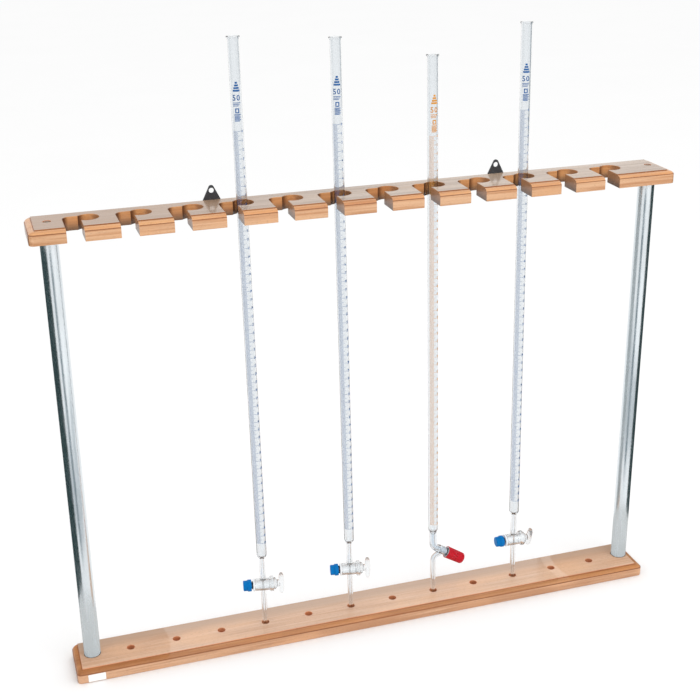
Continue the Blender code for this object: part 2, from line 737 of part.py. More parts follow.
def stopcock_burette(number, burette):
    matrix = burette_matrix(burette)
    prefix = "burette_%d_" % number
    cock_tube(prefix + "tube", burette, matrix)
    centre = Matrix.Translation((0.0, 0.0, COCK_Z))
    key = matrix @ centre @ Matrix.Rotation(math.radians(burette["key"]), 4, "X")
    cock_key(prefix + "key", key)
    washer(prefix + "washer", key)
    nut(prefix + "nut", key)
    seal_at = Vector((BARREL_LEFT - SEAL_OFFSET, 0.0, 0.0))
    seal = torus(bmesh.new(), SEAL_R, SEAL_THICK_R, seal_at, Vector((1.0, 0.0, 0.0)))
    piece(prefix + "seal", seal, RUBBER, key, smooth_above=180.0, roughness=0.6)


# Needle-valve burette


def valve_start():
    """Where the straight valve body begins, and the direction it runs in."""
    turn = 0.5 * math.pi - VALVE_DROP
    x = VALVE_BEND_R * (1.0 - math.cos(turn))
    z = VALVE_BEND_Z - VALVE_BEND_R * math.sin(turn)
    return Vector((x, 0.0, z)), Vector((math.cos(VALVE_DROP), 0.0, -math.sin(VALVE_DROP)))


def elbow_path(end):
    """From the neck round the elbow and along the valve body for the length end."""
    start, along = valve_start()
    turn = math.degrees(0.5 * math.pi - VALVE_DROP)
    path = [Vector((0.0, 0.0, VALVE_SHOULDER_LOW + 1.5 * MM))]
    for x, z in arc(VALVE_BEND_R, VALVE_BEND_Z, VALVE_BEND_R, 180.0, 180.0 + turn, 4):
        path.append(Vector((x, 0.0, z)))
    path.append(start + along * end)
    return path


def outlet_path():
    """From the jet tip up, round a bend and into the underside of the valve body."""
    start, along = valve_start()
    bend = arc(OUTLET_BEND_R, OUTLET_BEND_Z, OUTLET_BEND_R, 180.0, 115.0, 4)
    path = [Vector((x, 0.0, z)) for x, z in bend]
    path.append(start + along * OUTLET_JOIN)
    return path


def valve_frame():
    """A frame with its origin at the start of the valve body and +Z outwards along it."""
    start, along = valve_start()
    turn = Vector((0.0, 0.0, 1.0)).rotation_difference(along).to_matrix().to_4x4()
    return Matrix.Translation(start) @ turn


def axial(profile):
    """A solid of revolution along the valve body; heights are measured from its start."""
    bm = lathe(bmesh.new(), profile)
    bm.transform(valve_frame())
    return bm


def valve_tube(name, burette, matrix):
    """One glass piece: graduated tube, elbow, valve body and bent jet."""
    shoulder = (VALVE_SHOULDER_LOW, VALVE_SHOULDER_HIGH)
    top = tube_top_profile(burette["length"], *shoulder, VALVE_NECK_R - 0.6 * MM)
    tube = piece(name, lathe(bmesh.new(), top), GLASS, matrix, roughness=0.02, alpha=0.35)
    elbow = sweep(bmesh.new(), elbow_path(4.0 * MM), VALVE_NECK_R)
    boolean(tube, "join_elbow_" + name, elbow, "UNION", matrix)
    body = (
        (VALVE_NECK_R + 0.2 * MM, 0.5 * MM),
        (VALVE_BODY_R, 3.0 * MM),
        (VALVE_BODY_R, VALVE_BODY_END - 0.6 * MM),
        (VALVE_BODY_R - 0.6 * MM, VALVE_BODY_END),
    )
    boolean(tube, "join_body_" + name, axial(body), "UNION", matrix)
    bend = outlet_path()
    jet = lathe(bmesh.new(), jet_profile(bend[0].z - 1.0 * MM), segments=12)
    boolean(tube, "join_jet_" + name, jet, "UNION", matrix)
    outlet = [bend[0] - Vector((0.0, 0.0, OUTLET_LAP))] + bend
    boolean(tube, "join_outlet_" + name, sweep(bmesh.new(), outlet, JET_R - 0.05 * MM), "UNION", matrix)
    low = VALVE_SHOULDER_LOW - 1.0 * MM
    bore = tube_bore_profile(burette["length"], low, *shoulder, VALVE_TUBE_BORE_R)
    boolean(tube, "cut_bore_" + name, lathe(bmesh.new(), bore, segments=16), matrix=matrix)
    inlet = sweep(bmesh.new(), elbow_path(VALVE_CHAMBER_START - 1.0 * MM), VALVE_BORE_R, 8)
    boolean(tube, "cut_inlet_" + name, inlet, matrix=matrix)
    chamber = (
        (1.9 * MM, VALVE_CHAMBER_START - 1.8 * MM),
        (VALVE_CHAMBER_R, VALVE_CHAMBER_START + 0.6 * MM),
        (VALVE_CHAMBER_R, VALVE_BODY_END + CLEAR),
    )
    boolean(tube, "cut_chamber_" + name, axial(chamber), matrix=matrix)
    jet_bore = lathe(bmesh.new(), jet_bore_profile(bend[0].z - 1.0 * MM), segments=8)
    boolean(tube, "cut_jet_" + name, jet_bore, matrix=matrix)
    outlet_bore = sweep(bmesh.new(), outlet, JET_BORE_R + 0.05 * MM, 8)
    boolean(tube, "cut_outlet_" + name, outlet_bore, matrix=matrix)


def needle(name, matrix):
    """The white spindle: a sealing cone at one end and a flange inside the cap at the other."""
    start = VALVE_CHAMBER_START
    far = CAP_START + CAP_BORE_DEPTH - GAP
    profile = (
        (NEEDLE_TIP_R, start - NEEDLE_TIP),
        (NEEDLE_WAIST_R, start + NEEDLE_CONE),
        (NEEDLE_WAIST_R, start + NEEDLE_LAND - NEEDLE_STEP),
        (NEEDLE_R, start + NEEDLE_LAND),
        (NEEDLE_R, start + NEEDLE_GROOVE - NEEDLE_STEP),
        (NEEDLE_WAIST_R, start + NEEDLE_GROOVE),
        (NEEDLE_WAIST_R, start + NEEDLE_GROOVE_END),
        (NEEDLE_R, start + NEEDLE_GROOVE_END + NEEDLE_STEP),
        (NEEDLE_R, VALVE_BODY_END + 1.0 * MM),
        (NEEDLE_FLANGE_R, VALVE_BODY_END + 1.6 * MM),
        (NEEDLE_FLANGE_R, far),
    )
    piece(name, lathe(bmesh.new(), profile), WHITE, matrix, roughness=0.35)


def needle_seal(name, matrix):
    middle = VALVE_CHAMBER_START + 0.5 * (NEEDLE_GROOVE + NEEDLE_GROOVE_END)
    centre = Vector((0.0, 0.0, middle))
    ring_mesh = torus(bmesh.new(), NEEDLE_SEAL_R, NEEDLE_SEAL_THICK_R, centre, Vector((0.0, 0.0, 1.0)))
    piece(name, ring_mesh, RUBBER, matrix, smooth_above=180.0, roughness=0.6)


def cap(name, matrix):
    """The red screw cap, open towards the valve body."""
    end = CAP_START + CAP_LENGTH
    profile = (
        (CAP_R - CAP_TAPER, CAP_START),
        (CAP_R, CAP_START + CAP_TAPER),
        (CAP_R - CAP_TAPER, end - CAP_CROWN),
        (CAP_R - 0.5 * CAP_CROWN_R, end - 0.25 * CAP_CROWN),
        (CAP_R - CAP_CROWN_R, end),
    )
    made = piece(name, lathe(bmesh.new(), profile), RED, matrix, roughness=0.35)
    hole = ((CAP_BORE_R, CAP_START - CLEAR), (CAP_BORE_R, CAP_START + CAP_BORE_DEPTH))
    boolean(made, "cut_" + name, lathe(bmesh.new(), hole), matrix=matrix)


def liner(name, matrix):
    """The white threaded sleeve inside the mouth of the cap."""
    low = CAP_START + LINER_INSET
    high = low + LINER_LENGTH
    sleeve = lathe(bmesh.new(), ((LINER_R, low), (LINER_R, high)))
    made = piece(name, sleeve, WHITE, matrix, roughness=0.35)
    hole = ((LINER_BORE_R, low - CLEAR), (LINER_BORE_R, high + CLEAR))
    boolean(made, "cut_" + name, lathe(bmesh.new(), hole), matrix=matrix)


def needle_burette(number, burette):
    matrix = burette_matrix(burette)
    prefix = "burette_%d_" % number
    valve_tube(prefix + "tube", burette, matrix)
    valve = matrix @ valve_frame()
    needle(prefix + "needle", valve)
    needle_seal(prefix + "seal", valve)
    cap(prefix + "cap", valve)
    liner(prefix + "liner", valve)


for index, entry in enumerate(BURETTES):
    if entry["valve"] == "cock":
        stopcock_burette(index + 1, entry)
    else:
        needle_burette(index + 1, entry)
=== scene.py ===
"""Looks of the wooden burette stand with four burettes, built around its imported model."""

import json
import math

import bmesh
import bpy
from mathutils import Matrix, Vector


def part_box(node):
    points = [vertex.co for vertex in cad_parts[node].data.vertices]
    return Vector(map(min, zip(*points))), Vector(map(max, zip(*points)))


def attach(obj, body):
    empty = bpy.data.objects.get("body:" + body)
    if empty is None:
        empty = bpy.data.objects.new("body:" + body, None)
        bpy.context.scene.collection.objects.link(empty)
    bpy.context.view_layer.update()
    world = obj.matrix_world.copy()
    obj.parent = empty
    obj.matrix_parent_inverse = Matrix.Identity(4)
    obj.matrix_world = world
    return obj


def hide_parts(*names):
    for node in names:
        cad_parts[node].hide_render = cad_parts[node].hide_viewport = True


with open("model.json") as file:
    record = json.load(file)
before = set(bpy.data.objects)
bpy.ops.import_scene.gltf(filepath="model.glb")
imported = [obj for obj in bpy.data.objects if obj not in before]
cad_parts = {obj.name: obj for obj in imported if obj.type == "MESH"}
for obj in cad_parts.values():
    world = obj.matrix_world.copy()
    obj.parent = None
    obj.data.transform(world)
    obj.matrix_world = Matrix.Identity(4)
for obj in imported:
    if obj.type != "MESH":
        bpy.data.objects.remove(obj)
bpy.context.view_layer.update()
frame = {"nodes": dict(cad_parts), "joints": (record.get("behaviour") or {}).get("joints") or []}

MM = 0.001

# Driving sizes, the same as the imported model's
PITCH = 60 * MM
PLACES = 12
MOULD_WIDTH = 7.7 * MM
MOULD_HEIGHT = 4.1 * MM
MOULD_QUIRK = 0.8 * MM
MOULD_STEP = 1.1 * MM
CORNER_R = 6 * MM
CORNER_SHRINK = 0.7
CORNER_MIN_R = 0.4 * MM
ARRIS = 0.6 * MM
ROW_X = 3 * MM
HOLE_FROM_FRONT = 35.7 * MM
TIP_HOLE_R = 5 * MM
TIP_HOLE_DEPTH = 10 * MM
DRILL_POINT = 3 * MM
NOTCH_LEFT = -31.6 * MM
NOTCH_RIGHT = -11.6 * MM
NOTCH_BACK = 13.8 * MM
NOTCH_FILLET = 8 * MM
SEAT_R = 13 * MM
SEAT_X = -3.5 * MM
SEAT_Y = 6 * MM
GAP = 0.3 * MM
POST_R = 10.5 * MM
POST_WALL = 2 * MM
SOCKET_DEPTH = 4 * MM
SCREW_R = 2.5 * MM
SCREW_HOLE_R = 2.9 * MM
SCREW_HEAD_R = 3.8 * MM
SCREW_HEAD_H = 2.6 * MM
SCREW_LENGTH = 26 * MM
SCREW_SLOT_WIDTH = 1.2 * MM
SCREW_SLOT_DEPTH = 1.2 * MM
THREAD_START = 10 * MM
THREAD_PITCH = 0.75 * MM
THREAD_TURNS = 20
RECESS_R = 4.6 * MM
RECESS_DEPTH = 3.2 * MM
HANGER_X = 182 * MM
HANGER_HALF = 10.6 * MM
HANGER_RISE = 17.3 * MM
HANGER_DROP = 14 * MM
HANGER_THICK = 1.8 * MM
HANGER_TOP_R = 3.5 * MM
HANGER_EYE_R = 3.05 * MM
HANGER_EYE_Z = 11 * MM
HANGER_SCREW_X = 5.5 * MM
HANGER_SCREW_Z = -8 * MM
WOOD_SCREW_R = 1.5 * MM
PILOT_R = 1.8 * MM
SINK_R = 2.8 * MM
SINK_H = 1.3 * MM
WOOD_SCREW_LENGTH = 12 * MM
TUBE_R = 6.5 * MM
TUBE_BORE_R = 5.45 * MM
STEM_R = 4 * MM
STEM_BORE_R = 1.5 * MM
JET_R = 3.6 * MM
JET_BORE_R = 1.1 * MM
JET_TIP_R = 1.9 * MM
JET_TIP_BORE_R = 0.8 * MM
JET_TAPER = 22 * MM
RIM_R = 7.9 * MM
RIM_THICK = 1.5 * MM
COCK_Z = 67 * MM
SHOULDER_LOW = 105.5 * MM
SHOULDER_HIGH = 112 * MM
BARREL_LEFT = -11 * MM
BARREL_RIGHT = 13.6 * MM
BARREL_R = 8 * MM
COLLAR_R = 10.2 * MM
COLLAR_LEFT = 9.2 * MM
PLUG_SMALL_R = 5.5 * MM
PLUG_LARGE_R = 6.8 * MM
TAIL_R = 3 * MM
TAIL_END = -23.6 * MM
NECK_R = 4.4 * MM
HANDLE_X = 24 * MM
HANDLE_HALF_X = 3.8 * MM
HANDLE_HALF_Y = 5 * MM
HANDLE_HALF_Z = 14.5 * MM
HANDLE_SWELL = 0.45
HANDLE_END = 0.28
KEY_FLANGE_R = 8 * MM
WASHER_R = 8.3 * MM
NUT_SMALL_R = 6.9 * MM
NUT_LARGE_R = 7.9 * MM
NUT_RIBS = 16
VALVE_BEND_Z = 84 * MM
VALVE_BEND_R = 10 * MM
VALVE_DROP = math.radians(32.0)
VALVE_SHOULDER_LOW = 99.5 * MM
VALVE_SHOULDER_HIGH = 106 * MM
VALVE_NECK_R = 4.8 * MM
BODY_R = 5.7 * MM
CHAMBER_R = 4 * MM
CHAMBER_START = 7 * MM
BODY_END = 27 * MM
VALVE_HINGE = 30 * MM
OUTLET_BEND_R = 8 * MM
OUTLET_BEND_Z = 57 * MM
OUTLET_ENTRY = 11 * MM
NEEDLE_R = 3.7 * MM
NEEDLE_HEAD_R = 5.4 * MM
CAP_R = 8.2 * MM
CAP_START = 17 * MM
CAP_LENGTH = 27 * MM
CAP_BORE_R = 7.2 * MM
CAP_BORE_DEPTH = 15 * MM
CAP_RIBS = 12
LINER_R = 6.9 * MM
LINER_BORE_R = 6.1 * MM
LINER_LENGTH = 10.5 * MM

GLASS_IOR = 1.47
NOISE_ROUGHNESS = 0.55

# Fineness of the meshes
FLUTE_STEPS = 6
TORUS_SEGMENTS = 40
TORUS_SIDES = 14
CORNER_STEPS = 8
OVOLO_STEPS = 10

base_low, base_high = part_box("base_board")
top_low, top_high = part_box("top_board")
FRONT_Y = base_low.y
BACK_Y = base_high.y
HOLE_LINE_Y = FRONT_Y + HOLE_FROM_FRONT
HALF_LENGTH = base_high.x
BOARD_THICK = base_high.z
BASE_TOP = base_high.z
TOP_LOW = top_low.z
TOP_HIGH = top_high.z


# Mesh helpers


def ring(bm, points):
    return [bm.verts.new(p) for p in points]


def bridge(bm, low, high, tone=0):
    count = len(low)
    for i in range(count):
        j = (i + 1) % count
        bm.faces.new((low[i], low[j], high[j], high[i])).material_index = tone


def stack(bm, loops, tones=None, ends=(0, 0)):
    """A closed solid from loops of points; tones gives the material of each band."""
    rings = [ring(bm, points) for points in loops]
    for i in range(len(rings) - 1):
        bridge(bm, rings[i], rings[i + 1], tones[i] if tones else 0)
    bm.faces.new(rings[0]).material_index = ends[0]
    bm.faces.new(rings[-1]).material_index = ends[1]
    return bm


def circle(radius, segments):
    angles = [2.0 * math.pi * i / segments for i in range(segments)]
    return [(radius * math.cos(a), radius * math.sin(a)) for a in angles]


def onto(axis, u, v, height):
    if axis == "Z":
        return Vector((u, v, height))
    if axis == "X":
        return Vector((height, u, v))
    return Vector((u, height, v))


def lathe(bm, profile, axis="Z", segments=48, centre=(0.0, 0.0, 0.0)):
    """A solid of revolution from (radius, height) pairs, flat at both ends."""
    loops = []
    for radius, height in profile:
        loop = [onto(axis, u, v, height) + Vector(centre) for u, v in circle(radius, segments)]
        loops.append(loop)
    return stack(bm, loops)


def turned(profile, axis="Z", segments=48, centre=(0.0, 0.0, 0.0)):
    return lathe(bmesh.new(), profile, axis, segments, centre)


def near(radius, height, *offsets):
    """Profile points offset from a radius and a height by millimetres; a third value is a groove's depth."""
    return [(radius + r * MM, height + h * MM, *(d * MM for d in depth)) for r, h, *depth in offsets]


def fluted(sections, ribs, axis="Z"):
    """A turned shape from (radius, height) or, with rounded grooves, (radius, height, depth) sections."""
    loops = []
    count = ribs * FLUTE_STEPS
    for radius, height, *depth in sections:
        loop = []
        for i in range(count):
            angle = 2.0 * math.pi * i / count
            groove = 0.5 - 0.5 * math.cos(ribs * angle)
            r = radius - sum(depth) * groove ** 2
            loop.append(onto(axis, r * math.cos(angle), r * math.sin(angle), height))
        loops.append(loop)
    return stack(bmesh.new(), loops)


def sweep(path, radius, segments=32):
    """A round bar along a path that stays in the XZ plane."""
    loops = []
    side = Vector((0.0, 1.0, 0.0))
    for i, point in enumerate(path):
        before = path[max(i - 1, 0)]
        after = path[min(i + 1, len(path) - 1)]
        up = (after - before).normalized().cross(side)
        loops.append([point + side * u + up * v for u, v in circle(radius, segments)])
    return stack(bmesh.new(), loops)


def prism(outline, low, high, axis="Z"):
    return stack(bmesh.new(), [[onto(axis, u, v, level) for u, v in outline] for level in (low, high)])


def box(low, high):
    outline = ((low[0], low[1]), (high[0], low[1]), (high[0], high[1]), (low[0], high[1]))
    return prism(outline, low[2], high[2])


def arc(cx, cy, radius, start, end, steps):
    angles = [math.radians(start + (end - start) * i / steps) for i in range(steps + 1)]
    return [(cx + radius * math.cos(a), cy + radius * math.sin(a)) for a in angles]


def rounded(left, right, low, high, radius, steps):
    """The outline of a rectangle with round corners."""
    centres = (
        (right - radius, high - radius), (left + radius, high - radius),
        (left + radius, low + radius), (right - radius, low + radius),
    )
    points = []
    for quarter, (x, y) in enumerate(centres):
        points += arc(x, y, radius, 90.0 * quarter, 90.0 * (quarter + 1), steps)
    return points


def torus(major, minor, centre, axis):
    turn = Vector((0.0, 0.0, 1.0)).rotation_difference(axis).to_matrix()
    bm = bmesh.new()
    rings = []
    for u, v in circle(1.0, TORUS_SEGMENTS):
        out = Vector((u, v, 0.0))
        section = circle(minor, TORUS_SIDES)
        loop = [centre + turn @ (out * (major + r) + Vector((0.0, 0.0, h))) for r, h in section]
        rings.append(ring(bm, loop))
    for i in range(TORUS_SEGMENTS):
        bridge(bm, rings[i], rings[(i + 1) % TORUS_SEGMENTS])
    return bm


def linked(name, data):
    made = bpy.data.objects.new(name, data)
    bpy.context.scene.collection.objects.link(made)
    return made


def evaluated(made):
    """A new mesh of an object with its modifiers applied."""
    bpy.context.view_layer.update()
    return bpy.data.meshes.new_from_object(made.evaluated_get(bpy.context.evaluated_depsgraph_get()))


def object_of(name, bm, finishes):
    bmesh.ops.recalc_face_normals(bm, faces=bm.faces)
    mesh = bpy.data.meshes.new(name)
    bm.to_mesh(mesh)
    bm.free()
    for finish in finishes:
        mesh.materials.append(finish)
    return linked(name, mesh)


def cut(bm, finish=None):
    return "DIFFERENCE", bm, finish


def joined(bm, finish=None):
    return "UNION", bm, finish


def carve(bm, finishes, *steps):
    """The object left after joining or cutting shapes in turn; a shape without a finish takes the body's."""
    body = object_of("shape", bm, finishes)
    helpers = []
    for operation, other, finish in steps:
        helper = object_of("helper", other, [finish or finishes[0]])
        modifier = body.modifiers.new("step", "BOOLEAN")
        modifier.operation = operation
        modifier.solver = "EXACT"
        modifier.material_mode = "TRANSFER"
        modifier.object = helper
        helpers.append(helper)
    mesh = evaluated(body)
    for old in [body, *helpers]:
        bpy.data.objects.remove(old, do_unlink=True)
    return linked("carved", mesh)


def finish_piece(made, stem, suffix, body="stand", matrix=None, sharp=32.0, replaces=None):
    """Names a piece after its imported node, shades it, sets it in place and hangs it on its body."""
    made.name = stem + suffix
    made.data.name = made.name
    made.data.shade_smooth()
    if sharp is not None:
        made.data.set_sharp_from_angle(angle=math.radians(sharp))
    if matrix is not None:
        made.data.transform(matrix)
    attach(made, body)
    nodes = [stem] if replaces is None else replaces
    if nodes:
        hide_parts(*nodes)
    return made


def o_ring(node, bm, body, matrix):
    finish_piece(object_of("seal", bm, [rubber]), node, "_ring", body, matrix, sharp=None)


def finish_glass(made, stem, body, matrix, replaces=None):
    """A glass piece; it throws no shadow, as clear glass throws almost none."""
    piece = finish_piece(made, stem, "_glass", body, matrix, replaces=replaces)
    piece.visible_shadow = False


# Materials


def linear(*srgb):
    """A linear colour from 0-255 display values."""
    return tuple((c / 255.0 / 12.92) if c <= 10.3 else ((c / 255.0 + 0.055) / 1.055) ** 2.4 for c in srgb)


class Looks:
    """One procedural material and the nodes that make it."""

    def __init__(self, name, **values):
        self.material = bpy.data.materials.new(name)
        self.material.use_nodes = True
        self.tree = self.material.node_tree
        self.shader = self.tree.nodes["Principled BSDF"]
        for key, value in values.items():
            self.shader.inputs[key.replace("_", " ")].default_value = value
        self.coords = self.tree.nodes.new("ShaderNodeTexCoord")

    def node(self, kind, source, target):
        made = self.tree.nodes.new("ShaderNode" + kind)
        self.tree.links.new(source, made.inputs[target])
        return made

    def noise(self, scale, detail=3.0, offset=(0.0, 0.0, 0.0), distortion=0.0):
        """Noise with scale features per metre along each of the object's axes."""
        place = self.node("Mapping", self.coords.outputs["Object"], "Vector")
        place.inputs["Scale"].default_value = scale
        place.inputs["Location"].default_value = offset
        made = self.node("TexNoise", place.outputs["Vector"], "Vector")
        made.inputs["Scale"].default_value = 1.0
        made.inputs["Detail"].default_value = detail
        made.inputs["Roughness"].default_value = NOISE_ROUGHNESS
        made.inputs["Distortion"].default_value = distortion
        return made.outputs["Fac"]

    def span(self, source, low, high, to_low=0.0, to_high=1.0):
        made = self.node("MapRange", source, "Value")
        made.interpolation_type = "SMOOTHSTEP"
        for key, value in zip(("From Min", "From Max", "To Min", "To Max"), (low, high, to_low, to_high)):
            made.inputs[key].default_value = value
        return made.outputs["Result"]

    def feed(self, socket, value):
        """Sets an input to a colour or number, or links it to an output."""
        if isinstance(value, tuple):
            socket.default_value = (*value, 1.0)
        elif isinstance(value, (int, float)):
            socket.default_value = value
        else:
            self.tree.links.new(value, socket)

    def maths(self, operation, a, b):
        made = self.tree.nodes.new("ShaderNodeMath")
        made.operation = operation
        self.feed(made.inputs[0], a)
        self.feed(made.inputs[1], b)
        return made.outputs["Value"]

    def mix(self, factor, a, b):
        made = self.tree.nodes.new("ShaderNodeMix")
        made.data_type = "RGBA"
        for i, value in ((0, factor), (6, a), (7, b)):
            self.feed(made.inputs[i], value)
        return made.outputs[2]

    def axis(self, name, source="Object"):
        """One part, X, Y or Z, of the object coordinates or the normal."""
        return self.node("SeparateXYZ", self.coords.outputs[source], "Vector").outputs[name]

    def paint(self, color):
        self.tree.links.new(color, self.shader.inputs["Base Color"])

    def rough(self, value):
        self.tree.links.new(value, self.shader.inputs["Roughness"])

    def bump(self, height, distance, strength):
        made = self.node("Bump", height, "Height")
        made.inputs["Distance"].default_value = distance
        made.inputs["Strength"].default_value = strength
        self.tree.links.new(made.outputs["Normal"], self.shader.inputs["Normal"])


def dimmed(color, share):
    return tuple(c * share for c in color)


def wood(name, light, dark, offset, coat=0.55, fleck=0.35, streak=1.0, cut=None, painted_low_shade=None, painted_shade_fade=None):
    """Lacquered beech, grain along X, from display colours.

    cut gives the colours of faces across the grain, looking left and right, the darker colour looking right
    being painted shade;
    painted_low_shade paints shade that darkens from one height down to another; painted_shade_fade paints
    shade as a tint from one place along an axis to another.
    """
    looks = Looks(name, Coat_Weight=coat, Coat_Roughness=0.12, Specular_IOR_Level=0.35)
    light, dark = linear(*light), linear(*dark)
    shift = (offset, offset * 3.1, offset * 1.7)
    bands = looks.noise((3.2, 46.0, 46.0), 4.0, shift, 0.5)
    lines = looks.noise((9.0, 420.0, 420.0), 3.0, shift, 0.2)
    patches = looks.noise((11.0, 26.0, 26.0), 2.0, shift)
    grain = looks.maths("ADD", looks.maths("MULTIPLY", bands, 0.55), looks.maths("MULTIPLY", lines, 0.45))
    grain = looks.span(grain, 0.5 - 0.16 / streak, 0.5 + 0.16 / streak)
    color = looks.mix(grain, dark, light)
    warm = tuple(c * k for c, k in zip(light, (1.04, 0.93, 0.80)))
    color = looks.mix(looks.span(patches, 0.46, 0.68, 0.0, 0.6), color, warm)
    dashes = looks.span(looks.noise((330.0, 2100.0, 2100.0), 1.0, shift), 0.60, 0.70, 0.0, fleck)
    color = looks.mix(dashes, color, dimmed(dark, 0.42))
    if cut is not None:
        left, right = linear(*cut[0]), linear(*cut[1])
        normal = looks.axis("X", "Normal")
        pores = looks.noise((900.0, 900.0, 900.0), 2.0, shift)
        end = looks.mix(looks.span(pores, 0.42, 0.60, 0.0, 0.5), left, dimmed(left, 0.62))
        color = looks.mix(looks.span(normal, -0.35, -0.85), color, end)
        # Painted shade: faces looking right take the second, much darker colour, standing in for the shade
        # on walls turned away from the light.
        color = looks.mix(looks.span(normal, 0.05, 0.75), color, right)
    # Painted shade: the colour darkens towards the bottom of the board, standing in for the shade low in the
    # slots.
    if painted_low_shade is not None:
        start, end, most = painted_low_shade
        color = looks.mix(looks.span(looks.axis("Z"), start, end, most, 0.0), color, (0.05, 0.025, 0.012))
    # Painted shade: a darker tint laid along one axis of the board, standing in for light falling off across
    # it.
    if painted_shade_fade is not None:
        axis, start, end, most, tone = painted_shade_fade
        wander = looks.maths("ADD", looks.axis(axis), looks.maths("MULTIPLY", bands, 12.0 * MM))
        color = looks.mix(looks.span(wander, start, end, 0, most), color, linear(*tone))
    looks.paint(color)
    looks.rough(looks.span(lines, 0.3, 0.7, 0.46, 0.34))
    looks.bump(looks.maths("ADD", lines, looks.maths("MULTIPLY", dashes, -1.5)), 0.05 * MM, 0.35)
    return looks.material


def metal(name, color, roughness, along, tint=0.08, metallic=1.0):
    """Metal with fine drawn or brushed lines; along is their fineness on each axis."""
    looks = Looks(name, Metallic=metallic)
    lines = looks.noise(along, 3.0)
    cloud = looks.noise((45.0, 45.0, 9.0), 4.0)
    shade = looks.mix(looks.span(lines, 0.35, 0.65), dimmed(color, 1.0 - tint), color)
    shade = looks.mix(looks.span(cloud, 0.4, 0.75, 0.0, 0.35), shade, dimmed(color, 0.86))
    looks.paint(shade)
    looks.rough(looks.span(lines, 0.3, 0.7, roughness - 0.06, roughness + 0.06))
    looks.bump(lines, 0.02 * MM, 0.2)
    return looks.material


def moulded(name, color, roughness, speck, shine=0.5, bump=0.03):
    """Moulded plastic, rubber or paint: slight colour clouds and a fine skin."""
    looks = Looks(name, Specular_IOR_Level=shine)
    cloud = looks.noise((320.0, 320.0, 320.0), 3.0)
    skin = looks.noise((2600.0, 2600.0, 2600.0), 2.0)
    shade = looks.mix(looks.span(cloud, 0.35, 0.7), dimmed(color, 1.0 - speck), color)
    looks.paint(shade)
    looks.rough(looks.span(skin, 0.3, 0.7, roughness - 0.05, roughness + 0.07))
    looks.bump(skin, bump * MM, 0.25)
    return looks.material


def glass(name, color, roughness=0.0, wave=0.0):
    """Blown glass; wave is the height of its ripples in millimetres."""
    looks = Looks(name, Transmission_Weight=1.0, IOR=GLASS_IOR, Roughness=roughness, Specular_IOR_Level=0.5)
    cloud = looks.noise((60.0, 60.0, 9.0), 2.0)
    looks.paint(looks.mix(looks.span(cloud, 0.3, 0.7), dimmed(color, 0.985), color))
    if wave:
        looks.bump(looks.noise((120.0, 120.0, 14.0), 1.0), wave * MM, 0.3)
    return looks.material


# Painted reflection: the base's top is painted darker and greyer from behind the holes to the back edge,
# standing in for the dark background mirrored in its lacquer.
wood_base_top = wood(
    "beech_base_top", (226, 190, 162), (204, 160, 128), 0.0, coat=0.7,
    painted_shade_fade=("Y", HOLE_LINE_Y + 4.0 * MM, BACK_Y, 0.85, (186, 156, 134)),
)
wood_base_front = wood("beech_base_front", (216, 170, 134), (188, 136, 98), 2.0, streak=1.9)
wood_base_mould = wood("beech_base_mould", (198, 139, 88), (164, 104, 58), 3.0, streak=0.8)
# Painted shade: the quirks, the narrow grooves beside the mouldings, get a dark tone that stands in for the
# shade inside them.
wood_quirk = wood("beech_quirk", (160, 102, 62), (132, 80, 46), 4.0, coat=0.2, streak=0.6)
wood_ends = wood("beech_ends", (176, 122, 76), (140, 88, 50), 5.0, fleck=0.6)
# Painted shade: the top board's top gets a greyer, darker tone than the base's top, standing in for the
# darker surroundings its lacquer mirrors, and is painted darker still towards its left end.
wood_top_top = wood(
    "beech_top_top", (192, 170, 150), (160, 134, 112), 6.0, coat=0.7, streak=1.6,
    painted_shade_fade=("X", 0.15 * HALF_LENGTH, -0.95 * HALF_LENGTH, 0.85, (160, 124, 94)),
)
wood_top_front = wood("beech_top_front", (216, 170, 130), (188, 132, 88), 7.0, streak=2.0)
wood_top_mould = wood("beech_top_mould", (222, 166, 112), (194, 130, 80), 8.0)
# Painted shade: the small step between the top board's moulding and its top face gets a darker tone for the
# shade in it.
wood_top_step = wood("beech_top_step", (176, 116, 68), (150, 90, 48), 9.0, coat=0.3)
# The slots carry painted shade: their walls looking right are painted dark brown, and every wall is painted
# darker towards the board's underside.
wood_slot = wood(
    "beech_slot", (216, 158, 104), (190, 126, 76), 10.0, coat=0.3,
    cut=((172, 122, 84), (96, 56, 30)), painted_low_shade=(TOP_LOW, TOP_LOW + 12.0 * MM, 0.75),
)
wood_hole = wood("beech_hole", (222, 156, 116), (190, 122, 84), 11.0, coat=0.1)
aluminium = metal("drawn_aluminium", (0.79, 0.84, 0.87), 0.24, (260.0, 260.0, 30.0), tint=0.05)
plug_metal = metal("turned_aluminium", (0.70, 0.71, 0.72), 0.38, (900.0, 900.0, 900.0))
zinc = metal("zinc_plate", (0.36, 0.27, 0.20), 0.42, (1200.0, 1200.0, 1200.0))
black_steel = metal("black_steel", (0.055, 0.058, 0.065), 0.42, (500.0, 500.0, 500.0), metallic=0.5)
label_card = moulded("label_card", linear(250, 250, 248), 0.45, 0.02)
clear_glass = glass("clear_glass", (0.895, 0.915, 0.93))
cock_glass = glass("cock_glass", (0.93, 0.945, 0.955), 0.2, wave=0.01)
valve_glass = glass("valve_glass", (0.80, 0.855, 0.90), 0.05, wave=0.02)
white_plastic = moulded("white_plastic", linear(238, 240, 242), 0.35, 0.03)
blue_plastic = moulded("blue_plastic", linear(0, 116, 190), 0.32, 0.14, shine=0.08)
red_plastic = moulded("red_plastic", linear(196, 14, 36), 0.28, 0.2, shine=0.2)
blue_ink = moulded("blue_ink", linear(18, 92, 156), 0.5, 0.15)
amber_ink = moulded("amber_ink", linear(216, 146, 44), 0.5, 0.12)
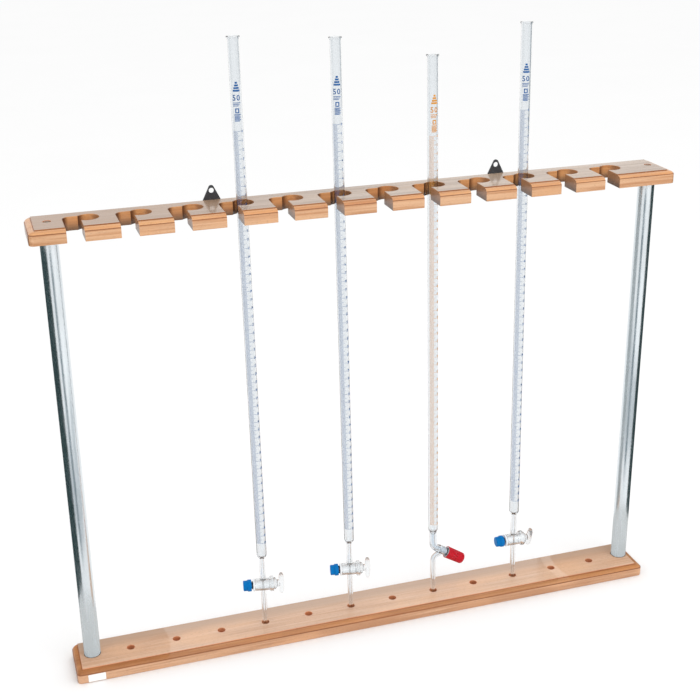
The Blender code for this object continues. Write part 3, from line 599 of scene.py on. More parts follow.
rubber = moulded("rubber", (0.018, 0.018, 0.019), 0.6, 0.2, bump=0.06)

for prefix in ("post_plug_low_", "post_plug_high_"):
    for side in ("left", "right"):
        data = frame["nodes"][prefix + side].data
        data.materials.clear()
        data.materials.append(plug_metal)


# Boards


def place_x(place):
    """X of a place, numbered 1 to PLACES from the left."""
    return ROW_X + (place - 0.5 * (PLACES + 1)) * PITCH


def board_loop(inset, height):
    half = HALF_LENGTH - inset
    radius = max(CORNER_R - CORNER_SHRINK * inset, CORNER_MIN_R)
    outline = rounded(-half, half, FRONT_Y + inset, BACK_Y, radius, CORNER_STEPS)
    return [Vector((x, y, height)) for x, y in outline]


def board_solid(low):
    """A board with an ovolo moulding; bands are 0 top, 1 front, 2 moulding, 3 quirks, 4 step."""
    face_top = BOARD_THICK - MOULD_HEIGHT
    wide = MOULD_WIDTH - 2.0 * MOULD_QUIRK
    high = MOULD_HEIGHT - MOULD_STEP
    profile = [(ARRIS, 0.0), (0.3 * ARRIS, 0.3 * ARRIS), (0.0, ARRIS)]
    profile += near(0, face_top, (0, -0.8), (0.12, -0.1))
    for run, rise in arc(1.0, 0.0, 1.0, 180.0, 90.0, OVOLO_STEPS):
        profile.append((MOULD_QUIRK + wide * run, face_top + high * rise))
    profile += near(MOULD_WIDTH, face_top + high, (-0.1, 0.1))
    profile += near(MOULD_WIDTH, BOARD_THICK, (0, -0.25), (0.25, 0))
    tones = [1, 1, 1, 3, 3] + [2] * OVOLO_STEPS + [3, 4, 4]
    return stack(bmesh.new(), [board_loop(inset, low + height) for inset, height in profile], tones, (1, 0))


def notch_cutters():
    bm = bmesh.new()
    levels = near(0, TOP_LOW, (1.5, -1), (0, 0.5)) + near(0, TOP_HIGH, (0, -0.5), (1.5, 1))
    for place in range(1, PLACES + 1):
        loops = []
        for out, level in levels:
            left = place_x(place) + NOTCH_LEFT - out
            right = place_x(place) + NOTCH_RIGHT + out
            back = HOLE_LINE_Y + NOTCH_BACK + out
            fillet = NOTCH_FILLET + out
            outline = [(left, FRONT_Y - MM), (right, FRONT_Y - MM), (right, back)]
            outline += arc(left + fillet, back - fillet, fillet, 90.0, 180.0, CORNER_STEPS)
            loops.append([Vector((x, y, level)) for x, y in outline])
        stack(bm, loops)
    return bm


def seat_cutters():
    bm = bmesh.new()
    profile = near(SEAT_R, TOP_LOW, (1.5, -1), (0, 0.5))
    profile += near(SEAT_R, TOP_HIGH, (0, -0.5), (1.5, 1))
    for place in range(1, PLACES + 1):
        lathe(bm, profile, centre=(place_x(place) + SEAT_X, HOLE_LINE_Y + SEAT_Y, 0.0))
    return bm


def tip_hole_cutters():
    bm = bmesh.new()
    bottom = BASE_TOP - TIP_HOLE_DEPTH
    profile = [(0.2 * MM, bottom - DRILL_POINT), (TIP_HOLE_R, bottom)]
    profile += near(TIP_HOLE_R, BASE_TOP, (0, -0.35), (1.35, 1))
    for place in range(1, PLACES + 1):
        lathe(bm, profile, segments=32, centre=(place_x(place), HOLE_LINE_Y, 0.0))
    return bm


def post_centre(side):
    low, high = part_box("post_" + side)
    return 0.5 * (low.x + high.x), 0.5 * (low.y + high.y)


def post_cutters(low, socket_up):
    """A socket for each post on one side of a board and its screw's recess on the other."""
    bm = bmesh.new()
    outside, inside, turn = (low, low + BOARD_THICK, 1.0) if socket_up else (low + BOARD_THICK, low, -1.0)
    steps = near(RECESS_R, 0, (1.3, -1), (0, 0.3))
    steps += [(RECESS_R, RECESS_DEPTH), (SCREW_HOLE_R, RECESS_DEPTH)]
    profile = [(radius, outside + turn * z) for radius, z in steps]
    steps = [(SCREW_HOLE_R, SOCKET_DEPTH), (POST_R + GAP, SOCKET_DEPTH), (POST_R + GAP, -MM)]
    profile += [(radius, inside - turn * z) for radius, z in steps]
    if not socket_up:
        profile.reverse()
    for side in ("left", "right"):
        lathe(bm, profile, centre=(*post_centre(side), 0.0))
    return bm


def hanger_pilot_cutters():
    bm = bmesh.new()
    profile = ((PILOT_R, BACK_Y - 12.5 * MM), (PILOT_R, BACK_Y + MM))
    for x in (-HANGER_X, HANGER_X):
        for offset in (-HANGER_SCREW_X, HANGER_SCREW_X):
            lathe(bm, profile, axis="Y", segments=16, centre=(x + offset, 0.0, TOP_HIGH + HANGER_SCREW_Z))
    return bm


def end_faces(made, ends):
    """Gives the boards' left and right end faces their own finish."""
    slots = made.data.materials
    slots.append(ends)
    for face in made.data.polygons:
        outer = abs(face.normal.x) > 0.8 and abs(face.center.x) > HALF_LENGTH - MOULD_WIDTH
        if outer and face.material_index == 1:
            face.material_index = len(slots) - 1


base = carve(
    board_solid(0.0),
    [wood_base_top, wood_base_front, wood_base_mould, wood_quirk, wood_base_mould],
    cut(tip_hole_cutters(), wood_hole),
    cut(post_cutters(0.0, True), wood_hole),
)
end_faces(base, wood_ends)
finish_piece(base, "base_board", "_wood")

top = carve(
    board_solid(TOP_LOW),
    [wood_top_top, wood_top_front, wood_top_mould, wood_quirk, wood_top_step],
    cut(notch_cutters(), wood_slot),
    cut(seat_cutters(), wood_slot),
    cut(post_cutters(TOP_LOW, False), wood_hole),
    cut(hanger_pilot_cutters(), wood_hole),
)
end_faces(top, wood_ends)
finish_piece(top, "top_board", "_wood")


# Posts, screws and hanging plates


def post(side):
    low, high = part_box("post_" + side)
    centre = (*post_centre(side), 0.0)
    outer = near(POST_R, low.z, (-0.5, 0), (-0.15, 0.15), (0, 0.5))
    outer += near(POST_R, high.z, (0, -0.5), (-0.15, -0.15), (-0.5, 0))
    bore = ((POST_R - POST_WALL, low.z - MM), (POST_R - POST_WALL, high.z + MM))
    made = carve(
        turned(outer, segments=72, centre=centre), [aluminium],
        cut(turned(bore, centre=centre)),
    )
    finish_piece(made, "post_" + side, "_metal")


def post_screw(prefix, side, seat, direction):
    """A slotted cheese-head screw: seat is the height under its head, direction where it points."""
    x, y = post_centre(side)
    steps = near(SCREW_HEAD_R, -SCREW_HEAD_H, (-0.5, 0), (-0.15, 0.15), (0, 0.5))
    steps += [(SCREW_HEAD_R, 0.0), (SCREW_R, 0.0)]
    for turn in range(THREAD_TURNS):
        steps += near(SCREW_R, THREAD_START + turn * THREAD_PITCH, (0, 0), (-0.3, 0.375))
    steps += near(SCREW_R, SCREW_LENGTH, (0, -0.6), (-0.6, 0))
    profile = [(radius, seat + direction * along) for radius, along in steps]
    outside = seat - direction * (SCREW_HEAD_H + MM)
    floor = seat - direction * (SCREW_HEAD_H - SCREW_SLOT_DEPTH)
    reach, half = 6.0 * MM, 0.5 * SCREW_SLOT_WIDTH
    slot = box((x - reach, y - half, min(outside, floor)), (x + reach, y + half, max(outside, floor)))
    made = carve(turned(profile, segments=36, centre=(x, y, 0.0)), [zinc], cut(slot))
    finish_piece(made, prefix + side, "_slotted")


def hanger_outline():
    top_z = HANGER_RISE - HANGER_TOP_R
    lean = math.atan2(top_z, HANGER_HALF)
    reach = math.hypot(top_z, HANGER_HALF)
    tangent = math.degrees(lean + math.acos(HANGER_TOP_R / reach)) - 90.0
    corner = 1.2 * MM
    points = arc(-HANGER_HALF + corner, -HANGER_DROP + corner, corner, 180.0, 270.0, 5)
    points += arc(HANGER_HALF - corner, -HANGER_DROP + corner, corner, 270.0, 360.0, 5)
    points.append((HANGER_HALF, 0.0))
    points += arc(0.0, top_z, HANGER_TOP_R, tangent, 180.0 - tangent, 20)
    points.append((-HANGER_HALF, 0.0))
    return points


def hanger(side, x):
    near_y = BACK_Y + GAP
    far_y = near_y + HANGER_THICK
    outline = [(x + u, TOP_HIGH + v) for u, v in hanger_outline()]
    eye = near(HANGER_EYE_R, near_y, (1, -0.6), (0, 0.4))
    eye += near(HANGER_EYE_R, far_y, (0, -0.4), (1, 0.6))
    cutters = turned(eye, "Y", 40, (x, 0.0, TOP_HIGH + HANGER_EYE_Z))
    hole = (
        (PILOT_R, near_y - MM), (PILOT_R, far_y - SINK_H - GAP),
        (SINK_R + GAP, far_y - 0.5 * GAP), (SINK_R + GAP, far_y + MM),
    )
    for offset in (-HANGER_SCREW_X, HANGER_SCREW_X):
        lathe(cutters, hole, "Y", 32, (x + offset, 0.0, TOP_HIGH + HANGER_SCREW_Z))
    made = carve(prism(outline, near_y, far_y, "Y"), [black_steel], cut(cutters))
    finish_piece(made, "hanger_" + side, "_plate")


def hanger_screw(name, x):
    """A countersunk wood screw with a cross recess, pointing forwards from a plate."""
    head = BACK_Y + GAP + HANGER_THICK - 0.5 * GAP
    point = head - WOOD_SCREW_LENGTH
    profile = near(0, point, (0.1, 0), (0.9, 1.8))
    for turn in range(6):
        profile += near(WOOD_SCREW_R, point + (2.2 + 1.1 * turn) * MM, (0, 0), (-0.45, 0.5))
    profile.append((WOOD_SCREW_R - 0.2 * MM, head - SINK_H))
    profile += near(SINK_R, head, (0, -0.1), (-0.1, 0))
    z = TOP_HIGH + HANGER_SCREW_Z
    cuts = []
    for wide, high in ((1.7 * MM, 0.3 * MM), (0.3 * MM, 1.7 * MM)):
        blade = box((x - wide, head - 0.8 * MM, z - high), (x + wide, head + MM, z + high))
        cuts.append(cut(blade))
    made = carve(turned(profile, "Y", 28, (x, 0.0, z)), [black_steel], *cuts)
    finish_piece(made, name, "_crosshead")


for side, direction in (("left", -1.0), ("right", 1.0)):
    post(side)
    post_screw("base_screw_", side, RECESS_DEPTH - GAP, 1.0)
    post_screw("top_screw_", side, TOP_HIGH - RECESS_DEPTH + GAP, -1.0)
    hanger(side, direction * HANGER_X)
    for letter, offset in (("a", -HANGER_SCREW_X), ("b", HANGER_SCREW_X)):
        hanger_screw("hanger_screw_%s_%s" % (side, letter), direction * HANGER_X + offset)


# A thin card with round corners where the maker's sticker is, left blank
label_low, label_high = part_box("blank_label")
label_outline = rounded(label_low.x, label_high.x, label_low.z, label_high.z, 0.8 * MM, 6)
label = object_of("card", prism(label_outline, label_low.y + 0.05 * MM, label_high.y, "Y"), [label_card])
finish_piece(label, "blank_label", "_card")


# Burettes


def burette_frame(name, hinge, local):
    """Local +Z up the tube from the jet tip and +X towards the handle or cap, from the joints' axes."""
    joints = {joint["name"]: joint for joint in frame["joints"]}
    up = Vector(joints[name + "_lift"]["axis"]).normalized()
    out = Vector(joints[hinge]["axis"])
    side = (out - up * out.dot(up)).normalized()
    turn = Matrix((side, up.cross(side), up)).transposed()
    origin = Vector(joints[hinge]["pos_m"]) - turn @ Vector(local)
    return Matrix.Translation(origin) @ turn.to_4x4()


def packed_points(node, matrix):
    """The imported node's points, in the axes of matrix."""
    inverse = matrix.inverted()
    return [inverse @ v.co for v in frame["nodes"][node].data.vertices]


def tube_length(name, matrix):
    return max(p.z for p in packed_points(name + "_tube", matrix))


def eased(low_r, high_r, low, high, steps):
    """A smooth shoulder between two radii, without its first point."""
    points = []
    for i in range(1, steps + 1):
        t = i / steps
        points.append((low_r + (high_r - low_r) * t * t * (3.0 - 2.0 * t), low + (high - low) * t))
    return points


def tube_top_profile(length, shoulder_low, shoulder_high, low_r):
    """The graduated tube from its lower shoulder to the beaded rim."""
    profile = [(low_r, shoulder_low)] + eased(low_r, TUBE_R, shoulder_low, shoulder_high, 8)
    profile += near(TUBE_R, length - RIM_THICK, (0, -2.6), (0.25, -1.4))
    profile += near(RIM_R, length - RIM_THICK, (-0.5, -0.45), (-0.12, 0))
    return profile + near(RIM_R, length, (0, -0.75), (-0.12, -0.35), (-0.5, -0.05), (-0.9, 0))


def tube_bore_profile(length, bore_low, shoulder_low, shoulder_high, low_r):
    start, end = shoulder_low + 0.5 * MM, shoulder_high + 0.8 * MM
    profile = [(low_r, bore_low), (low_r, start)] + eased(low_r, TUBE_BORE_R, start, end, 6)
    return profile + near(TUBE_BORE_R, length, (0, -1.2), (0.25, -0.4), (0.9, 1))


def jet_profile(top):
    profile = near(JET_TIP_R, 0, (-0.15, 0), (0, 0.15), (0.2, 0.8))
    return profile + near(JET_R, JET_TAPER, (-0.35, -4), (-0.08, -1), (0, 1)) + [(JET_R, top)]


def jet_bore_profile(top):
    return [(JET_TIP_BORE_R, -MM), (JET_BORE_R, JET_TAPER), (JET_BORE_R, top)]


def cock_tube(name, matrix):
    length = tube_length(name, matrix)
    centre = (0.0, 0.0, COCK_Z)
    stem = [(STEM_R, COCK_Z + 3.0 * MM)]
    body = turned(stem + tube_top_profile(length, SHOULDER_LOW, SHOULDER_HIGH, STEM_R))
    jet = turned(jet_profile(COCK_Z - 3.0 * MM), segments=40)
    barrel = near(BARREL_R, BARREL_LEFT, (-0.5, 0), (-0.15, 0.2), (0, 0.7))
    barrel += near(BARREL_R, COLLAR_LEFT, (0, -1.4), (0.5, -0.8))
    barrel += near(COLLAR_R, COLLAR_LEFT, (-0.6, -0.1), (-0.15, 0.4), (0, 1))
    barrel += near(COLLAR_R, BARREL_RIGHT, (0, -1), (-0.2, -0.4), (-0.8, 0))
    bore = tube_bore_profile(length, COCK_Z + 2.0 * MM, SHOULDER_LOW, SHOULDER_HIGH, STEM_BORE_R)
    past = 2.0 * MM
    slope = (PLUG_LARGE_R - PLUG_SMALL_R) / (BARREL_RIGHT - BARREL_LEFT)
    seat = (
        (PLUG_SMALL_R + GAP - slope * past, BARREL_LEFT - past),
        (PLUG_LARGE_R + GAP + slope * past, BARREL_RIGHT + past),
    )
    made = carve(
        body, [clear_glass],
        joined(jet), joined(turned(barrel, "X", centre=centre), cock_glass),
        cut(turned(bore)),
        cut(turned(jet_bore_profile(COCK_Z - past), segments=20)),
        cut(turned(seat, "X", centre=centre), cock_glass),
    )
    finish_glass(made, name, name, matrix, [name + "_tube"])


def handle_bar():
    """The key's T handle: an upright bar of rounded section, narrower towards its ends."""
    steps = 14
    loops = []
    for i in range(steps + 1):
        turn = math.radians(180.0 * i / steps - 90.0)
        size = HANDLE_END
        if 0 < i < steps:
            size = max(math.cos(turn) ** HANDLE_SWELL, HANDLE_END)
        loop = []
        for u, v in circle(1.0, 36):
            x = HANDLE_X + HANDLE_HALF_X * size * u
            loop.append(Vector((x, HANDLE_HALF_Y * size * v, HANDLE_HALF_Z * math.sin(turn))))
        loops.append(loop)
    return stack(bmesh.new(), loops)


def cock_key(name, matrix, body):
    profile = [(TAIL_R - 0.5 * MM, TAIL_END)]
    for turn in range(9):
        profile += near(TAIL_R, TAIL_END + (0.5 + 1.2 * turn) * MM, (0, 0), (-0.35, 0.6))
    profile += near(TAIL_R, BARREL_LEFT, (0, -0.6), (0.3, -0.2))
    profile += near(PLUG_SMALL_R, BARREL_LEFT, (0, 0.2))
    profile += near(PLUG_LARGE_R, BARREL_RIGHT, (0, 0), (0, 0.3))
    profile += near(KEY_FLANGE_R, BARREL_RIGHT, (-0.5, 0.45), (-0.05, 0.8), (0, 1.2))
    profile += near(KEY_FLANGE_R, BARREL_RIGHT, (-0.2, 1.9), (-1, 2.8))
    profile += near(NECK_R, BARREL_RIGHT, (1, 3.8), (0.25, 4.8), (0, 5.8)) + [(NECK_R, HANDLE_X - MM)]
    hole = turned(((JET_BORE_R, -9.0 * MM), (JET_BORE_R, 9.0 * MM)), segments=20)
    made = carve(
        turned(profile, "X"), [cock_glass],
        joined(handle_bar()), cut(hole),
    )
    finish_glass(made, name + "_key", body, matrix)


def cock_fittings(name, matrix, body):
    """The white washer, the blue cap nut and the O-ring between them."""
    hole_r = TAIL_R + GAP
    left = BARREL_LEFT - 2.4 * MM
    right = BARREL_LEFT - 0.3 * MM
    profile = near(WASHER_R, left, (-0.3, 0), (-0.08, 0.12), (0, 0.35))
    profile += near(WASHER_R, right, (0, -0.3), (-0.2, 0))
    hole = turned(((hole_r, left - MM), (hole_r, right + MM)), "X", 32)
    made = carve(turned(profile, "X"), [white_plastic], cut(hole))
    finish_piece(made, name + "_washer", "_ring", body, matrix)
    right = BARREL_LEFT - 4.7 * MM
    step = right - 5.4 * MM
    left = right - 10.9 * MM
    sections = near(NUT_SMALL_R, left, (-1.5, 0), (-0.5, 0.15), (-0.15, 0.5, 0.15), (0, 0.9, 0.45))
    sections += near(NUT_SMALL_R, step, (0, -0.2, 0.45), (0.1, 0, 0.35))
    sections += near(NUT_LARGE_R, step, (-0.3, 0.3, 0.2), (0, 0.8, 0.5))
    sections += near(NUT_LARGE_R, right, (0, -0.8, 0.5), (-0.2, -0.25, 0.2), (-0.6, 0))
    hole = turned(((hole_r, TAIL_END - 0.8 * MM), (hole_r, right + MM)), "X", 32)
    made = carve(fluted(sections, NUT_RIBS, "X"), [blue_plastic], cut(hole))
    finish_piece(made, name + "_nut", "_grip", body, matrix, sharp=50.0)
    seal = torus(4.5 * MM, 0.8 * MM, Vector((BARREL_LEFT - 3.55 * MM, 0.0, 0.0)), Vector((1.0, 0.0, 0.0)))
    o_ring(name + "_seal", seal, body, matrix)


# Needle valve


def valve_start():
    turn = 0.5 * math.pi - VALVE_DROP
    x = VALVE_BEND_R * (1.0 - math.cos(turn))
    z = VALVE_BEND_Z - VALVE_BEND_R * math.sin(turn)
    return Vector((x, 0.0, z)), Vector((math.cos(VALVE_DROP), 0.0, -math.sin(VALVE_DROP)))


def elbow_path(end):
    start, along = valve_start()
    turn = math.degrees(0.5 * math.pi - VALVE_DROP)
    path = [Vector((0.0, 0.0, VALVE_SHOULDER_LOW + 1.5 * MM))]
    for x, z in arc(VALVE_BEND_R, VALVE_BEND_Z, VALVE_BEND_R, 180.0, 180.0 + turn, 12):
        path.append(Vector((x, 0.0, z)))
    path.append(start + along * end)
    return path


def outlet_path():
    """The bent jet, from upright to where it enters the valve's body."""
    start, along = valve_start()
    bend = arc(OUTLET_BEND_R, OUTLET_BEND_Z, OUTLET_BEND_R, 180.0, 115.0, 12)
    path = [Vector((x, 0.0, z)) for x, z in bend]
    path.append(start + along * OUTLET_ENTRY)
    return path


def valve_frame():
    start, along = valve_start()
    turn = Vector((0.0, 0.0, 1.0)).rotation_difference(along).to_matrix().to_4x4()
    return Matrix.Translation(start) @ turn


def axial(profile):
    bm = turned(profile)
    bm.transform(valve_frame())
    return bm


def valve_tube(name, matrix):
    length = tube_length(name, matrix)
    low, high = VALVE_SHOULDER_LOW, VALVE_SHOULDER_HIGH
    body = near(VALVE_NECK_R, 0, (0.2, 0.5)) + near(BODY_R, 0, (-0.2, 2.2), (0, 3.4))
    body += near(BODY_R, BODY_END, (0, -0.6), (-0.6, 0))
    bend = outlet_path()
    outlet = [bend[0] - Vector((0.0, 0.0, 2.5 * MM))] + bend
    jet_top = bend[0].z - MM
    bore = tube_bore_profile(length, low - MM, low, high, 2.6 * MM)
    chamber = [(1.9 * MM, CHAMBER_START - 1.8 * MM)]
    chamber += near(CHAMBER_R, CHAMBER_START, (0, 0.6)) + near(CHAMBER_R, BODY_END, (0, 1))
    made = carve(
        turned(tube_top_profile(length, low, high, VALVE_NECK_R - 0.6 * MM)), [clear_glass],
        joined(sweep(elbow_path(4.0 * MM), VALVE_NECK_R, 40), valve_glass),
        joined(axial(body), valve_glass),
        joined(turned(jet_profile(jet_top), segments=40)),
        joined(sweep(outlet, JET_R - 0.05 * MM), valve_glass),
        cut(turned(bore)),
        cut(sweep(elbow_path(CHAMBER_START - MM), 2.0 * MM, 24), valve_glass),
        cut(axial(chamber), valve_glass),
        cut(turned(jet_bore_profile(jet_top), segments=20)),
        cut(sweep(outlet, JET_BORE_R + 0.05 * MM, 20)),
    )
    finish_glass(made, name, name, matrix, [name + "_tube"])


def needle(name, matrix):
    """The spindle: its cone, a waist, the O-ring's groove, and the head screwed into the cap."""
    start = CHAMBER_START
    profile = near(0, start, (0.4, -1.2), (1, -1), (2.7, 1.2), (2.9, 1.6), (2.9, 6))
    profile += near(NEEDLE_R, start, (0, 6.4), (0, 8))
    profile += near(0, start, (2.9, 8.2), (2.9, 10.5)) + near(NEEDLE_R, start, (0, 10.7))
    profile += near(NEEDLE_R, BODY_END, (0, 1)) + near(NEEDLE_HEAD_R, BODY_END, (-0.2, 1.3), (0, 1.6))
    profile.append((NEEDLE_HEAD_R, CAP_START + CAP_BORE_DEPTH - GAP))
    made = object_of("needle", turned(profile), [white_plastic])
    finish_piece(made, name + "_needle", "_spindle", "valve_needle", matrix)
    seal = torus(3.45 * MM, 0.42 * MM, Vector((0.0, 0.0, start + 9.35 * MM)), Vector((0.0, 0.0, 1.0)))
    o_ring(name + "_seal", seal, "valve_needle", matrix)


def cap(name, matrix):
    """The ribbed red cap and the white sleeve in its mouth."""
    end = CAP_START + CAP_LENGTH
    sections = near(CAP_R, CAP_START, (-0.5, 0), (-0.12, 0.2), (0, 0.6), (0, 1.8))
    sections += near(CAP_R, CAP_START, (-0.02, 2.6, 0.9))
    sections += near(CAP_R, end, (-0.4, -3.4, 0.9), (-0.5, -2.4, 0.54), (-0.75, -1.4, 0.18))
    sections += near(CAP_R, end, (-1.3, -0.6), (-2, -0.15), (-2.8, 0))
    hole = turned(((CAP_BORE_R, CAP_START - MM), (CAP_BORE_R, CAP_START + CAP_BORE_DEPTH)))
    made = carve(fluted(sections, CAP_RIBS), [red_plastic], cut(hole))
    finish_piece(made, name + "_cap", "_grip", "valve_cap", matrix, sharp=50.0)
    low = CAP_START + 0.2 * MM
    high = low + LINER_LENGTH
    inner = [(LINER_BORE_R, low - MM)]
    for turn in range(6):
        inner += near(LINER_BORE_R, low + (0.8 + 1.6 * turn) * MM, (0, 0), (0.4, 0.5), (0, 1))
    inner.append((LINER_BORE_R, high + MM))
    sleeve = near(LINER_R, low, (-0.15, 0), (0, 0.2)) + [(LINER_R, high)]
    made = carve(turned(sleeve), [white_plastic], cut(turned(inner)))
    finish_piece(made, name + "_liner", "_thread", "valve_cap", matrix)


# Printed scales

INK_IN = TUBE_R - 0.03 * MM
INK_OUT = TUBE_R + 0.07 * MM
SCALE_STEPS = 500
TICK_HIGH = 0.30 * MM
# How far the scale starts below the top of the print, and how long it is
COCK_SCALE = (56.4 * MM, 538.0 * MM)
NEEDLE_SCALE = (50.0 * MM, 530.0 * MM)
# Azimuths in degrees from the middle of the print
LONG_TICK = (-62.0, 30.0)
MIDDLE_TICK = (-62.0, 8.0)
SHORT_TICK = (-60.0, -8.0)
NUMBER_LEFT = 33.0
NUMBER_HIGH = 3.2 * MM
VOLUME = 50
VOLUME_LEFT = -44.0
VOLUME_DROP = 18.2 * MM
VOLUME_HIGH = 6.8 * MM
# The plain block's bars: start and end azimuth, then how far below its top and how high, in millimetres
BLOCK_BARS = [(-12 - 8 * i, 12 + 8 * i, 1.2 + 3 * i, 2.2) for i in range(4)]
BLOCK_BARS += [(-42, 38 - 10 * i, 24 + 1.7 * i, 0.8) for i in range(3)]
BLOCK_BARS += [(-22, 20, 30.8, 1.2), (-22, 20, 35.2, 1.2)]
BLOCK_BARS += [(-22, -11, 33, 3.4), (9, 20, 33, 3.4)]
BLOCK_BARS += [(-32, 34 - 12 * (i % 2), 37.4 + 1.45 * i, 0.95) for i in range(6)]


def on_tube(azimuth, radius, z):
    """A point at an azimuth in degrees from local -Y towards local +X."""
    angle = math.radians(azimuth)
    return Vector((radius * math.sin(angle), -radius * math.cos(angle), z))


def bar(bm, start, end, z, high):
    """A printed bar round the tube from azimuth start to end."""
    steps = max(1, round(abs(end - start) / 9.0))
    loops = []
    for i in range(steps + 1):
        azimuth = start + (end - start) * i / steps
        section = ((INK_IN, -0.5), (INK_OUT, -0.5), (INK_OUT, 0.5), (INK_IN, 0.5))
        loops.append([on_tube(azimuth, radius, z + edge * high) for radius, edge in section])
    stack(bm, loops)


def glyph(digit):
    """A digit as a closed solid one unit high: its points, faces and width."""
    curve = bpy.data.curves.new("digit", "FONT")
    curve.body = digit
    curve.extrude = 0.5
    curve.offset = 0.016
    curve.resolution_u = 2
    text = linked("digit", curve)
    mesh = evaluated(text)
    bm = bmesh.new()
    bm.from_mesh(mesh)
    bmesh.ops.remove_doubles(bm, verts=bm.verts, dist=1e-5)
    bm.verts.index_update()
    left = min(v.co.x for v in bm.verts)
    bottom = min(v.co.y for v in bm.verts)
    tall = max(v.co.y for v in bm.verts) - bottom
    points = [Vector(((v.co.x - left) / tall, (v.co.y - bottom) / tall, v.co.z)) for v in bm.verts]
    faces = [[v.index for v in f.verts] for f in bm.faces]
    bm.free()
    bpy.data.objects.remove(text, do_unlink=True)
    bpy.data.meshes.remove(mesh)
    return points, faces, max(p.x for p in points)


DIGITS = {digit: glyph(digit) for digit in "0123456789"}


def number_print(bm, value, azimuth, z, high, wide=1.0):
    """Digits round the tube; azimuth is the left edge and z the middle."""
    left = azimuth
    degrees = math.degrees(high * wide / TUBE_R)
    for digit in str(value):
        points, faces, width = DIGITS[digit]
        made = []
        for p in points:
            radius = INK_OUT if p.z > 0.0 else INK_IN
            made.append(bm.verts.new(on_tube(left + p.x * degrees, radius, z + (p.y - 0.5) * high)))
        for face in faces:
            bm.faces.new([made[i] for i in face])
        left += (width + 0.16) * degrees


def scale_print(name, matrix, ink, slot, block_top, drop, length, shift):
    """Ticks every 0.1 ml, a number every 1 ml and a plain block of marks below the rim."""
    bm = bmesh.new()
    for i in range(SCALE_STEPS + 1):
        z = block_top - drop - length * i / SCALE_STEPS
        start, end = LONG_TICK if i % 10 == 0 else MIDDLE_TICK if i % 5 == 0 else SHORT_TICK
        bar(bm, shift + start, shift + end, z, TICK_HIGH)
        if i % 10 == 0:
            number_print(bm, i // 10, shift + NUMBER_LEFT, z, NUMBER_HIGH)
    for start, end, below, high in BLOCK_BARS:
        bar(bm, shift + start, shift + end, block_top - below * MM, high * MM)
    number_print(bm, VOLUME, shift + VOLUME_LEFT, block_top - VOLUME_DROP, VOLUME_HIGH, 0.95)
    finish_piece(object_of("scale", bm, [ink]), name, "_scale", name, matrix, sharp=30.0, replaces=())


def key_angle(name, cock):
    """The handle's angle about the stopcock's axis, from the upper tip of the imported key."""
    points = packed_points(name + "_key", cock)
    reach = max(math.hypot(p.y, p.z) for p in points)
    tips = [p for p in points if math.hypot(p.y, p.z) > reach - 0.1 * MM and p.z > 0.0]
    middle = sum(tips, Vector()) / len(tips)
    return math.atan2(-middle.y, middle.z)


def stopcock_burette(number, block_top, shift):
    """A burette with a glass key; its print starts at block_top and faces shift degrees to the right."""
    name, body = "burette_%d" % number, "stopcock_%d" % number
    matrix = burette_frame(name, body + "_turn", (0.0, 0.0, COCK_Z))
    cock_tube(name, matrix)
    cock = matrix @ Matrix.Translation((0.0, 0.0, COCK_Z))
    handle = cock @ Matrix.Rotation(key_angle(name, cock), 4, "X")
    cock_key(name, handle, body)
    cock_fittings(name, handle, body)
    scale_print(name, matrix, blue_ink, "blue_ink", block_top, *COCK_SCALE, shift)


def needle_burette(number, block_top, shift):
    name = "burette_%d" % number
    start, along = valve_start()
    matrix = burette_frame(name, "valve_cap_turn", start + along * VALVE_HINGE)
    valve_tube(name, matrix)
    valve = matrix @ valve_frame()
    needle(name, valve)
    cap(name, valve)
    scale_print(name, matrix, amber_ink, "amber_ink", block_top, *NEEDLE_SCALE, shift)


stopcock_burette(1, 725.8 * MM, 3.0)
stopcock_burette(2, 724.7 * MM, 0.0)
needle_burette(3, 694.8 * MM, 3.0)
stopcock_burette(4, 724.1 * MM, -15.0)


# Stage, light and camera


def staged(name, bm, finish):
    made = object_of(name, bm, [finish])
    return made


def sheet(name, corners, finish):
    bm = bmesh.new()
    bm.faces.new(ring(bm, [Vector(corner) for corner in corners]))
    return staged(name, bm, finish)


def paper(name, color, cloud=1.06, scale=2.0, roughness=1.0):
    """Matt paper with slight clouds, lighter by the factor cloud."""
    looks = Looks(name, Roughness=roughness, Specular_IOR_Level=0.0)
    looks.paint(looks.mix(looks.noise((scale, scale, scale)), color, dimmed(color, cloud)))
    return looks.material


FLOOR_REACH = 30.0
FLOOR_Z = -0.3 * MM
around = ((-1.0, -1.0), (1.0, -1.0), (1.0, 1.0), (-1.0, 1.0))
floor_corners = [(x * FLOOR_REACH, y * FLOOR_REACH, FLOOR_Z) for x, y in around]
sheet("floor", floor_corners, paper("floor_paper", (0.955, 0.955, 0.955), 0.975 / 0.955, 3.0, 0.9))


def unseen(made):
    """Keeps a card out of the picture: it shows only in reflections."""
    made.visible_camera = False
    made.visible_diffuse = False
    made.visible_shadow = False
    made.visible_transmission = False


CARD_HIGH = 0.58
CHARCOAL = paper("charcoal_card", (0.042, 0.068, 0.070))
GREY = paper("grey_card", (0.26, 0.31, 0.34))
SILVER = paper("silver_card", (0.42, 0.45, 0.46))
MIDDLE = paper("middle_card", (0.52, 0.55, 0.57))
PALE = paper("pale_card", (0.66, 0.66, 0.65))


def card_arc(side, distance, start, end):
    """Points on a circle about a post between two compass angles, about ten degrees apart."""
    return arc(*post_centre(side), distance, start, end, max(3, round(abs(end - start) / 10.0)))


def screen(name, side, distance, start, end, finish):
    """A curved standing card about a post."""
    bm = bmesh.new()
    path = card_arc(side, distance, start, end)
    low, high = [ring(bm, [Vector((u, v, height)) for u, v in path]) for height in (0.0, CARD_HIGH)]
    for i in range(len(path) - 1):
        bm.faces.new((low[i], low[i + 1], high[i + 1], high[i]))
    unseen(staged(name, bm, finish))


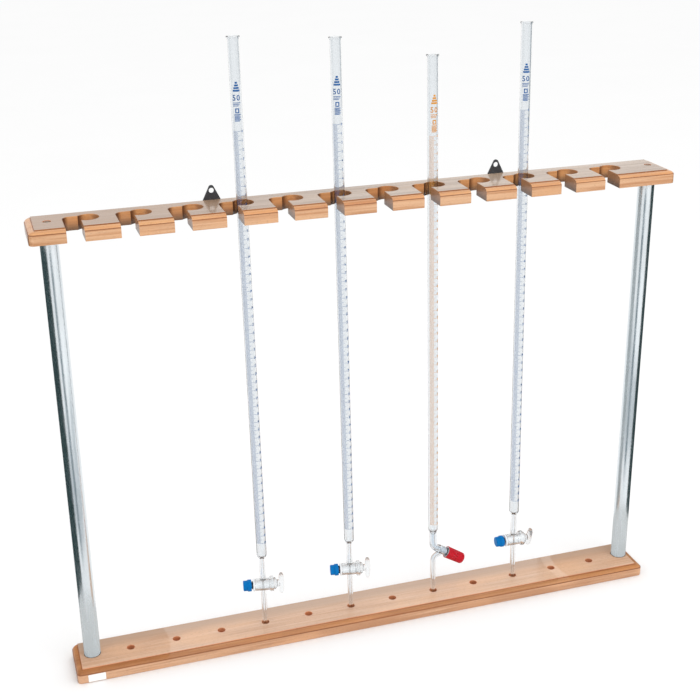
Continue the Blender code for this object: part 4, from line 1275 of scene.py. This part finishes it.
def patch(name, side, inner, outer, start, end, height, finish):
    """A card lying flat in part of a ring about a post."""
    outline = card_arc(side, inner, start, end) + card_arc(side, outer, end, start)
    unseen(sheet(name, [(x, y, height) for x, y in outline], finish))


screen("screen_left", "left", 0.13, 228.0, 115.0, CHARCOAL)
screen("screen_left_line", "left", 0.20, -104.0, -80.0, GREY)
screen("screen_right", "right", 0.11, -45.0, 50.0, CHARCOAL)
screen("screen_right_back", "right", 0.115, 142.0, 196.0, SILVER)
screen("screen_right_front", "right", 0.20, 230.0, 256.0, GREY)
patch("floor_card_left", "left", 0.28, 0.80, 205.0, 282.0, 0.2 * MM, MIDDLE)
patch("floor_card_right", "right", 0.28, 0.85, 197.0, 318.0, 0.2 * MM, MIDDLE)
for name, x in (("edge_card_left", -1.6), ("edge_card_right", 1.6)):
    made = sheet(name, [(x, -1.2, 0.0), (x, 1.5, 0.0), (x, 1.5, 1.8), (x, -1.2, 1.8)], GREY)
    # These two show only through the glass
    unseen(made)
    made.visible_transmission = True
    made.visible_glossy = False
for side in ("left", "right"):
    patch("foot_card_" + side, side, POST_R + 0.2 * MM, 0.10, 0.0, 359.0, BASE_TOP + 0.2 * MM, PALE)

KEY_PLACE = Vector((0.9, -2.2, 2.2))
KEY_TARGET = Vector((0.0, 0.0, 0.3))
KEY_SIZE = (2.4, 2.0)
KEY_WATTS = 22.0
light = bpy.data.lights.new("key", "AREA")
light.shape = "RECTANGLE"
light.size, light.size_y = KEY_SIZE
light.energy = KEY_WATTS
key_light = linked("key", light)
key_light.location = KEY_PLACE
key_light.rotation_mode = "QUATERNION"
key_light.rotation_quaternion = (KEY_TARGET - KEY_PLACE).to_track_quat("-Z", "Y")

world = bpy.data.worlds.new("studio")
bpy.context.scene.world = world
world.use_nodes = True
background = world.node_tree.nodes["Background"]
background.inputs["Color"].default_value = (1.0, 1.0, 1.0, 1.0)
background.inputs["Strength"].default_value = 1.0

# The camera: sensor and lens in millimetres, place in metres, angles in degrees
CAMERA_SENSOR = 36.0
CAMERA_LENS = 64.942
CAMERA_X, CAMERA_Y, CAMERA_Z = ROW_X - 0.46410, HOLE_LINE_Y - 1.40281, 0.98264
CAMERA_HEADING = -17.3353
CAMERA_DIP = 21.908
CAMERA_ROLL = -0.80364

camera_data = bpy.data.cameras.new("camera")
camera_data.sensor_width = CAMERA_SENSOR
camera_data.lens = CAMERA_LENS
camera_data.clip_start = 0.05
camera_data.clip_end = 100.0
camera = linked("camera", camera_data)
aim = (
    Matrix.Rotation(math.radians(CAMERA_HEADING), 4, "Z")
    @ Matrix.Rotation(math.radians(90.0 - CAMERA_DIP), 4, "X")
    @ Matrix.Rotation(math.radians(CAMERA_ROLL), 4, "Z")
)
camera.matrix_world = Matrix.Translation((CAMERA_X, CAMERA_Y, CAMERA_Z)) @ aim
bpy.context.scene.camera = camera
bpy.context.scene.view_settings.view_transform = "Standard"
